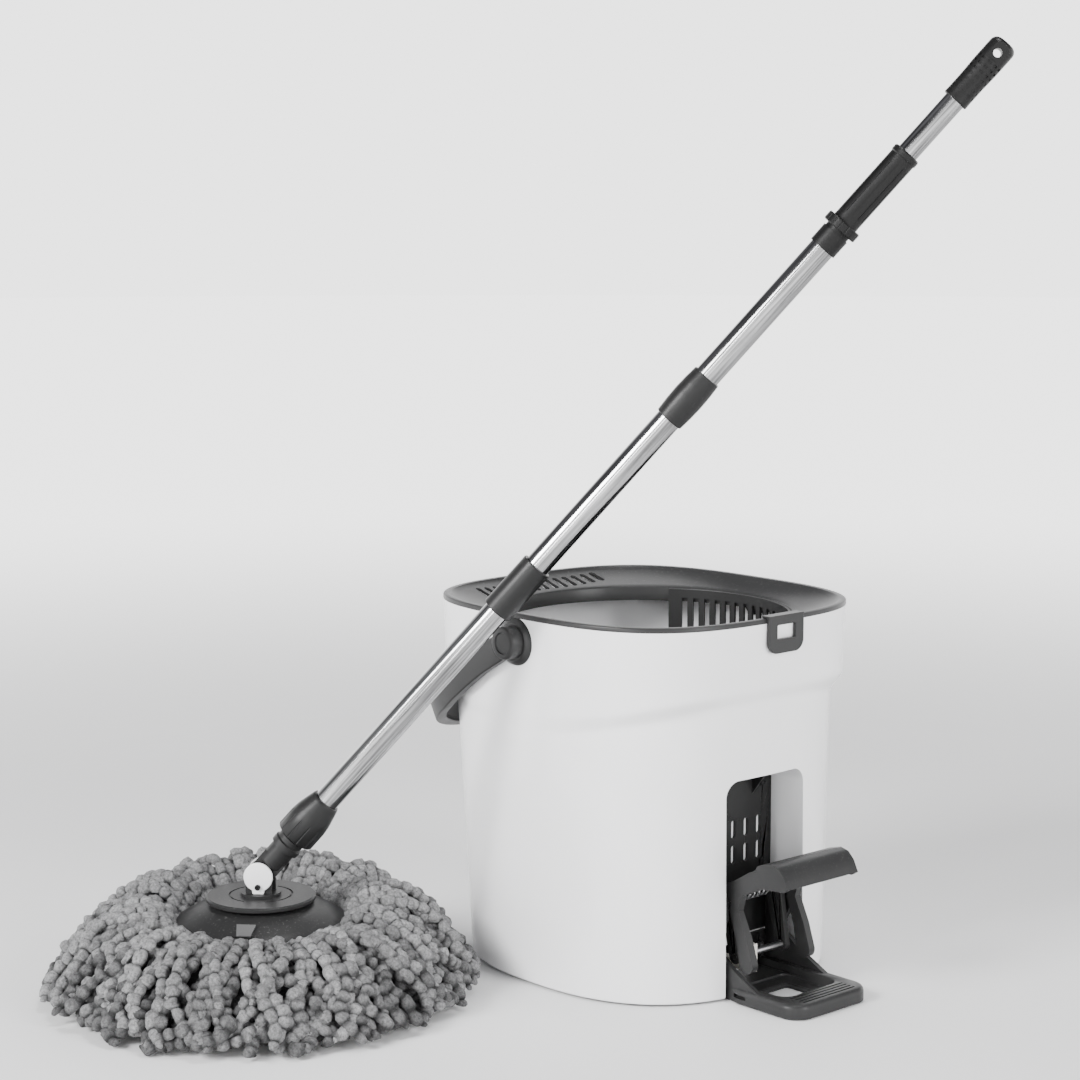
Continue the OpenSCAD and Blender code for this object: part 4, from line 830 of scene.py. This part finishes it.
def strand_tube(points, at, settings, dice):
    """Rings of a beaded strand; returns the ring points and each ring's bead height, which the yarn's
    colour takes as painted shade in the creases between beads.
    """
    pitch, radius, sides = settings.bead / MM, settings.strand / MM, settings.sides
    drift = at / pitch + dice.uniform(0, 1) + 0.22 * np.sin(at / 9.0 + dice.uniform(0, 9))
    beat = np.abs(np.sin(math.pi * drift))
    number = np.floor(drift).astype(int) % 64
    plump = dice.uniform(0.80, 1.16, 64)[number]
    swell = 0.44 + 0.56 * beat ** 0.5 * plump
    taper = np.clip((at[-1] - at) / 6.0, 0.12, 1) ** 0.5
    throw = dice.normal(0, 1.5, (64, 2))[number] * beat[:, None]
    ahead = np.gradient(points, axis=0)
    ahead /= np.linalg.norm(ahead, axis=1)[:, None]
    side = np.cross(ahead, (0.0, 0.0, 1.0))
    side /= np.linalg.norm(side, axis=1)[:, None]
    lift = np.cross(side, ahead)
    centre = points + side * throw[:, :1] + lift * throw[:, 1:] * 0.7
    turn = np.linspace(0, math.tau, sides, endpoint=False)
    lump = dice.normal(0, 0.11, (64, sides))[number] * beat[:, None]
    fluff = 1 + dice.normal(0, 0.05, (len(at), sides)) + lump
    size = (radius * swell * taper)[:, None] * fluff
    ring = (centre[:, None, :] + side[:, None, :] * (np.cos(turn) * size)[:, :, None]
            + lift[:, None, :] * (np.sin(turn) * size * 0.92)[:, :, None])
    ring[:, :, 2] = np.maximum(ring[:, :, 2], 1.0)
    # the second value is painted crease shade, low between the beads
    return ring.reshape(-1, 3), np.repeat(beat ** 0.8, sides)


class SPINMOP_OT_yarn(bpy.types.Operator):
    """Builds the beaded chenille strands in three layers and the pad under the head"""
    bl_idname = "spinmop.yarn"
    bl_label = "Build yarn"

    def execute(self, context):
        settings = context.scene.spin_mop_yarn
        dice = np.random.default_rng(settings.seed)
        foot = np.array([HINGE[0], HINGE[1], 0.0])
        for number, layer in enumerate(LAYERS):
            count = round(settings.count * layer[1])
            points, faces, shades, beads = [], [], [], []
            first = 0
            for k in range(count):
                turn = math.tau * (k + 0.5 * number + dice.uniform(-0.22, 0.22)) / count
                path, at = strand_path(layer, turn, dice, settings.radius / MM, 1.8)
                ring, bead = strand_tube(path, at, settings, dice)
                faces += ring_faces(first, settings.sides, len(at))
                end = first + (len(at) - 1) * settings.sides
                faces.append(tuple(range(end, end + settings.sides)))
                points.append(ring + foot)
                shades.append(np.full(len(ring), dice.uniform(0, 1)))
                # painted shade: each ring's crease shade, darkened further on the lower layers
                beads.append(bead * layer[7])
                first += len(ring)
            obj = make_object(layer[0], np.concatenate(points) * MM, faces, 80)
            for label, values in (("strand_shade", shades), ("painted_crease_shade", beads)):
                attribute = obj.data.attributes.new(label, "FLOAT", "POINT")
                attribute.data.foreach_set("value", np.concatenate(values).astype(np.float32))
            replaced = ["yarn"] if number == 0 else []
            show(obj, "head", MATERIALS["yarn"], "yarn", *replaced)
        self.build_pad(foot, dice)
        return {"FINISHED"}

    def build_pad(self, foot, dice):
        """The pad of packed pile that closes the head under the plate: a low yarn tone with painted shade
        over it.
        """
        profile = [(60, 24), (110, 20), (158, 6), (160, 12), (140, 34), (112, 52), (84, 58), (60, 58)]
        steps = 180
        t = np.linspace(0, math.tau, steps, endpoint=False)
        rings = []
        for radius, z in profile:
            r = radius + dice.normal(0, 1.0, steps)
            height = z + dice.normal(0, 0.8, steps)
            rings.append(np.stack([foot[0] + r * np.cos(t), foot[1] + r * np.sin(t), height], 1))
        pad = loft("yarn_pad", rings, smooth_angle=80)
        # a low yarn tone, and painted shade under the head
        for label, value in (("strand_shade", 0.1), ("painted_crease_shade", 0.15)):
            attribute = pad.data.attributes.new(label, "FLOAT", "POINT")
            attribute.data.foreach_set("value", np.full(len(pad.data.vertices), value, np.float32))
        show(pad, "head", MATERIALS["yarn"], "yarn")


# ------------------------------- hinge covers --------------------------------------
class SPINMOP_OT_ears(bpy.types.Operator):
    """Builds the two white keyhole-shaped covers on the tilting hinge"""
    bl_idname = "spinmop.ears"
    bl_label = "Build hinge covers"

    def execute(self, context):
        heading = math.atan2(POLE_AXIS[1], POLE_AXIS[0])
        radius, half, foot = 12.3, 5.0, -14.6  # the disc, and the half width and end of its tongue
        inner, thick = 9.2, 2.5
        meet = math.asin(half / radius)
        arc = np.linspace(-math.pi / 2 + meet, math.pi * 1.5 - meet, 64)
        outline = [(radius * math.cos(a), radius * math.sin(a)) for a in arc]
        outline += [(-half, foot + 1.2), (-half + 0.4, foot + 0.35), (-half + 1.2, foot)]
        outline += [(half - 1.2, foot), (half - 0.4, foot + 0.35), (half, foot + 1.2)]
        outline = np.array(outline)
        points, faces = [], []
        for side in (-1, 1):
            first = len(points)
            steps = ((0.0, 0.0), (thick - 0.9, 0.0), (thick - 0.4, 0.15), (thick - 0.1, 0.5), (thick, 1.0))
            for rise, inset in steps:
                ring = outline * (1 - inset / radius)
                y = side * (inner + rise)
                for u, v in ring:
                    points.append((HINGE[0] + u * math.cos(heading) - y * math.sin(heading),
                                   HINGE[1] + u * math.sin(heading) + y * math.cos(heading), HINGE[2] + v))
            count, end = len(outline), len(points)
            faces += ring_faces(first, count, len(steps))
            faces += [tuple(range(first, first + count))[::-1], tuple(range(end - count, end))]
        obj = make_object("hinge_covers", np.array(points) * MM, faces, 40)
        outward(obj)
        show(obj, "knuckle", MATERIALS["white"], "white_plastic", "ear_covers")
        return {"FINISHED"}


# ------------------------------- carried-over nodes --------------------------------
# The finish of each node that is carried over from the frame
FINISHES = {
    "dark": ("splash_guard", "rim_clip", "handle_bushes", "pedal", "pedal_legs", "pedal_crank",
             "rack_guide", "basket", "basket_hub", "base_cover"),
    "deep": ("back_panel", "hub_cap", "neck_collar", "lower_sleeve", "barrel_sleeve", "ear_screws",
             "panel_screws"),
    "mid": ("neck", "knuckle", "top_disc", "head_plate"),
    "grip": ("drive_grip", "lock_ring", "top_grip"),
    "clear": ("plate_clips",),
    "nylon": ("spindle_bushes", "rack", "lay_gear", "rack_pinion", "spindle_gear", "lock_cam"),
    "rubber": ("rubber_feet", "shaft_seal"),
    "tube": ("lower_tube", "middle_tube", "upper_tube", "inner_tube"),
    "zinc": ("cover_screws", "pedal_base_screws", "pedal_axle", "axle_clips", "return_spring",
             "lay_post", "crossbar_pin", "spindle", "one_way_clutch", "hinge_pin", "stem_washer",
             "bearing_ring"),
    "yarn": ("yarn_ring",),
}
# Radius in millimetres of the rounded edges that some nodes get
SOFT_EDGES = {"pedal": 1.0, "rim_clip": 0.8, "knuckle": 0.8,
              "handle_bushes": 0.8, "pedal_legs": 0.8, "pedal_crank": 0.6, "back_panel": 0.5, "basket": 0.4,
              "splash_guard": 0.3, "neck": 0.5, "plate_clips": 0.25}


WELD_REACH = 0.000004  # metres within which two points are one
SHARP_ANGLE = math.radians(33)


def smoothing_group():
    """Welds a carried-over mesh and shades it smooth up to its real edges."""
    group = bpy.data.node_groups.new("Weld and smooth", "GeometryNodeTree")
    group.interface.new_socket(name="Geometry", in_out="INPUT", socket_type="NodeSocketGeometry")
    group.interface.new_socket(name="Geometry", in_out="OUTPUT", socket_type="NodeSocketGeometry")
    t = Tree(group)
    start = group.nodes.new("NodeGroupInput")
    end = group.nodes.new("NodeGroupOutput")
    plain = t.node("GeometryNodeRemoveAttribute", {"Geometry": start.outputs[0], "Name": "custom_normal"})
    weld = t.node("GeometryNodeMergeByDistance", {"Geometry": plain.outputs[0], "Distance": WELD_REACH})
    faces = t.node("GeometryNodeSetShadeSmooth", {
        "Geometry": weld.outputs[0], "Shade Smooth": True}, domain="FACE")
    angle = t.node("GeometryNodeInputMeshEdgeAngle")
    sharp = t.node("FunctionNodeCompare", data_type="FLOAT", operation="GREATER_THAN")
    group.links.new(angle.outputs["Unsigned Angle"], sharp.inputs[0])
    sharp.inputs[1].default_value = SHARP_ANGLE
    edges = t.node("GeometryNodeSetShadeSmooth", {
        "Geometry": faces.outputs[0], "Selection": sharp.outputs[0], "Shade Smooth": False}, domain="EDGE")
    group.links.new(edges.outputs[0], end.inputs[0])
    return group


class SPINMOP_OT_finishes(bpy.types.Operator):
    """Gives every carried-over node its finish and smooth shading, and the listed ones softened edges"""
    bl_idname = "spinmop.finishes"
    bl_label = "Finish carried-over nodes"

    def execute(self, context):
        group = smoothing_group()
        for finish, names in FINISHES.items():
            for name in names:
                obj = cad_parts[name]
                obj.data.materials.clear()
                obj.data.materials.append(MATERIALS[finish])
                smooth = obj.modifiers.new("Weld and smooth", "NODES")
                smooth.node_group = group
                if name in SOFT_EDGES:
                    soften = obj.modifiers.new("Softened edges", "BEVEL")
                    soften.width = SOFT_EDGES[name] * MM
                    soften.segments = 3
                    soften.limit_method = "ANGLE"
                    soften.angle_limit = math.radians(38)
                    soften.use_clamp_overlap = True
                    soften.harden_normals = True
        return {"FINISHED"}


# ------------------------------- stage -----------------------------------------------
class SPINMOP_OT_stage(bpy.types.Operator):
    """Sets up the pale floor, the soft studio lights and the camera"""
    bl_idname = "spinmop.stage"
    bl_label = "Build stage"

    def execute(self, context):
        settings = context.scene.spin_mop_stage
        self.build_floor(settings)
        self.build_world(context)
        self.build_lights(context, settings)
        data = bpy.data.cameras.new("Camera")
        data.lens = settings.lens
        data.sensor_width = 36.0
        camera = bpy.data.objects.new("Camera", data)
        context.scene.collection.objects.link(camera)
        camera.location = settings.eye
        look = Vector(settings.aim) - Vector(settings.eye)
        camera.rotation_euler = look.to_track_quat("-Z", "Y").to_euler()
        context.scene.camera = camera
        return {"FINISHED"}

    def build_floor(self, settings):
        """A round floor that turns from pale paper into the studio's glow towards its rim."""
        steps, sunk = 96, -0.2 * MM
        turns = [math.tau * k / steps for k in range(steps)]
        ring = [(settings.floor * math.cos(t), settings.floor * math.sin(t), sunk) for t in turns]
        floor = make_object("floor", ring, [tuple(range(steps))])
        made = bpy.data.materials.new("Pale floor")
        made.use_nodes = True
        t = Tree(made.node_tree)
        shader = made.node_tree.nodes["Principled BSDF"]
        where = t.node("ShaderNodeTexCoord").outputs["Object"]
        paper = t.noise(where, 380.0, 4.0, 0.6)
        reach = t.node("ShaderNodeVectorMath", {0: where}, operation="LENGTH").outputs["Value"]
        far = t.node("ShaderNodeMapRange", {
            "Value": reach, "From Min": 0.7, "From Max": 3.2}, interpolation_type="SMOOTHSTEP").outputs[0]
        near_colour = t.mix(paper, (0.84, 0.84, 0.84, 1.0), (0.88, 0.88, 0.88, 1.0))
        links = made.node_tree.links
        links.new(t.mix(far, near_colour, (0.0, 0.0, 0.0, 1.0)), shader.inputs["Base Color"])
        links.new(t.mix(far, (0.0, 0.0, 0.0, 1.0), (1.0, 1.0, 1.0, 1.0)), shader.inputs["Emission Color"])
        links.new(t.remap(paper, 0.3, 0.7, 0.6, 0.75), shader.inputs["Roughness"])
        shader.inputs["Emission Strength"].default_value = HORIZON
        shader.inputs["Specular IOR Level"].default_value = 0.2
        floor.data.materials.append(made)

    def build_world(self, context):
        """A world that is bright round the horizon and dim overhead."""
        world = bpy.data.worlds.new("Studio")
        context.scene.world = world
        world.use_nodes = True
        t = Tree(world.node_tree)
        background = world.node_tree.nodes["Background"]
        where = t.node("ShaderNodeTexCoord").outputs["Generated"]
        up = t.node("ShaderNodeSeparateXYZ", {0: where}).outputs["Z"]
        ramp = t.node("ShaderNodeMapRange", {
            "Value": up, "From Min": 0.12, "From Max": 0.5}, interpolation_type="SMOOTHSTEP").outputs[0]
        colour = t.mix(ramp, (1.0, 1.0, 1.0, 1.0), (0.07, 0.07, 0.075, 1.0))
        world.node_tree.links.new(colour, background.inputs["Color"])
        background.inputs["Strength"].default_value = HORIZON

    def build_lights(self, context, settings):
        """Five soft area lights, sized in metres."""
        places = (
            # name, place, aim, width, height, share of the key's power
            ("key", (-0.3, -2.9, 1.7), (0.0, -0.1, 0.25), 1.2, 0.9, 1.2),
            ("side", (2.5, 0.2, 1.1), (0.0, -0.1, 0.25), 0.5, 1.6, 0.40),
            ("back", (-1.4, 2.0, 2.0), (0.0, 0.0, 0.3), 1.6, 0.7, 0.12),
            ("top", (0.25, 0.1, 2.9), (0.1, 0.1, 0.2), 0.8, 0.8, 0.30),
            ("edge", (0.9, -2.4, 0.9), (0.0, -0.1, 0.4), 0.12, 1.5, 0.14),
        )
        for name, place, aim, width, height, share in places:
            data = bpy.data.lights.new(name, "AREA")
            data.shape = "RECTANGLE"
            data.size, data.size_y = width, height
            data.energy = settings.key * share
            light = bpy.data.objects.new(name, data)
            context.scene.collection.objects.link(light)
            light.location = place
            light.rotation_euler = (Vector(aim) - Vector(place)).to_track_quat("-Z", "Y").to_euler()


# ------------------------------- panel and registration ---------------------------------
OPERATORS = (SPINMOP_OT_materials, SPINMOP_OT_bucket, SPINMOP_OT_insert, SPINMOP_OT_foot,
             SPINMOP_OT_handle, SPINMOP_OT_yarn, SPINMOP_OT_ears, SPINMOP_OT_finishes, SPINMOP_OT_stage)
GROUPS = (("spin_mop_shell", SpinMopShell), ("spin_mop_yarn", SpinMopYarn),
          ("spin_mop_colours", SpinMopColours), ("spin_mop_stage", SpinMopStage))


class SPINMOP_PT_panel(bpy.types.Panel):
    """Sizes of the set and a button for each piece"""
    bl_label = "Spin Mop"
    bl_idname = "SPINMOP_PT_panel"
    bl_space_type = "VIEW_3D"
    bl_region_type = "UI"
    bl_category = "Spin Mop"

    def draw(self, context):
        for name, kind in GROUPS:
            box = self.layout.box()
            for key in kind.__annotations__:
                box.prop(getattr(context.scene, name), key)
        for operator in OPERATORS:
            self.layout.operator(operator.bl_idname)


def register():
    """Adds the settings, operators and panel."""
    for name, kind in GROUPS:
        bpy.utils.register_class(kind)
        setattr(bpy.types.Scene, name, bpy.props.PointerProperty(type=kind))
    for kind in OPERATORS + (SPINMOP_PT_panel,):
        bpy.utils.register_class(kind)


def unregister():
    """Takes them away again."""
    for kind in reversed(OPERATORS + (SPINMOP_PT_panel,)):
        bpy.utils.unregister_class(kind)
    for name, kind in reversed(GROUPS):
        delattr(bpy.types.Scene, name)
        bpy.utils.unregister_class(kind)


def main():
    """Builds everything in order."""
    register()
    bpy.ops.spinmop.materials()
    bpy.ops.spinmop.bucket()
    bpy.ops.spinmop.insert()
    bpy.ops.spinmop.foot()
    bpy.ops.spinmop.handle()
    bpy.ops.spinmop.yarn()
    bpy.ops.spinmop.ears()
    bpy.ops.spinmop.finishes()
    bpy.ops.spinmop.stage()
    bpy.context.view_layer.update()


if __name__ == "__main__":
    main()
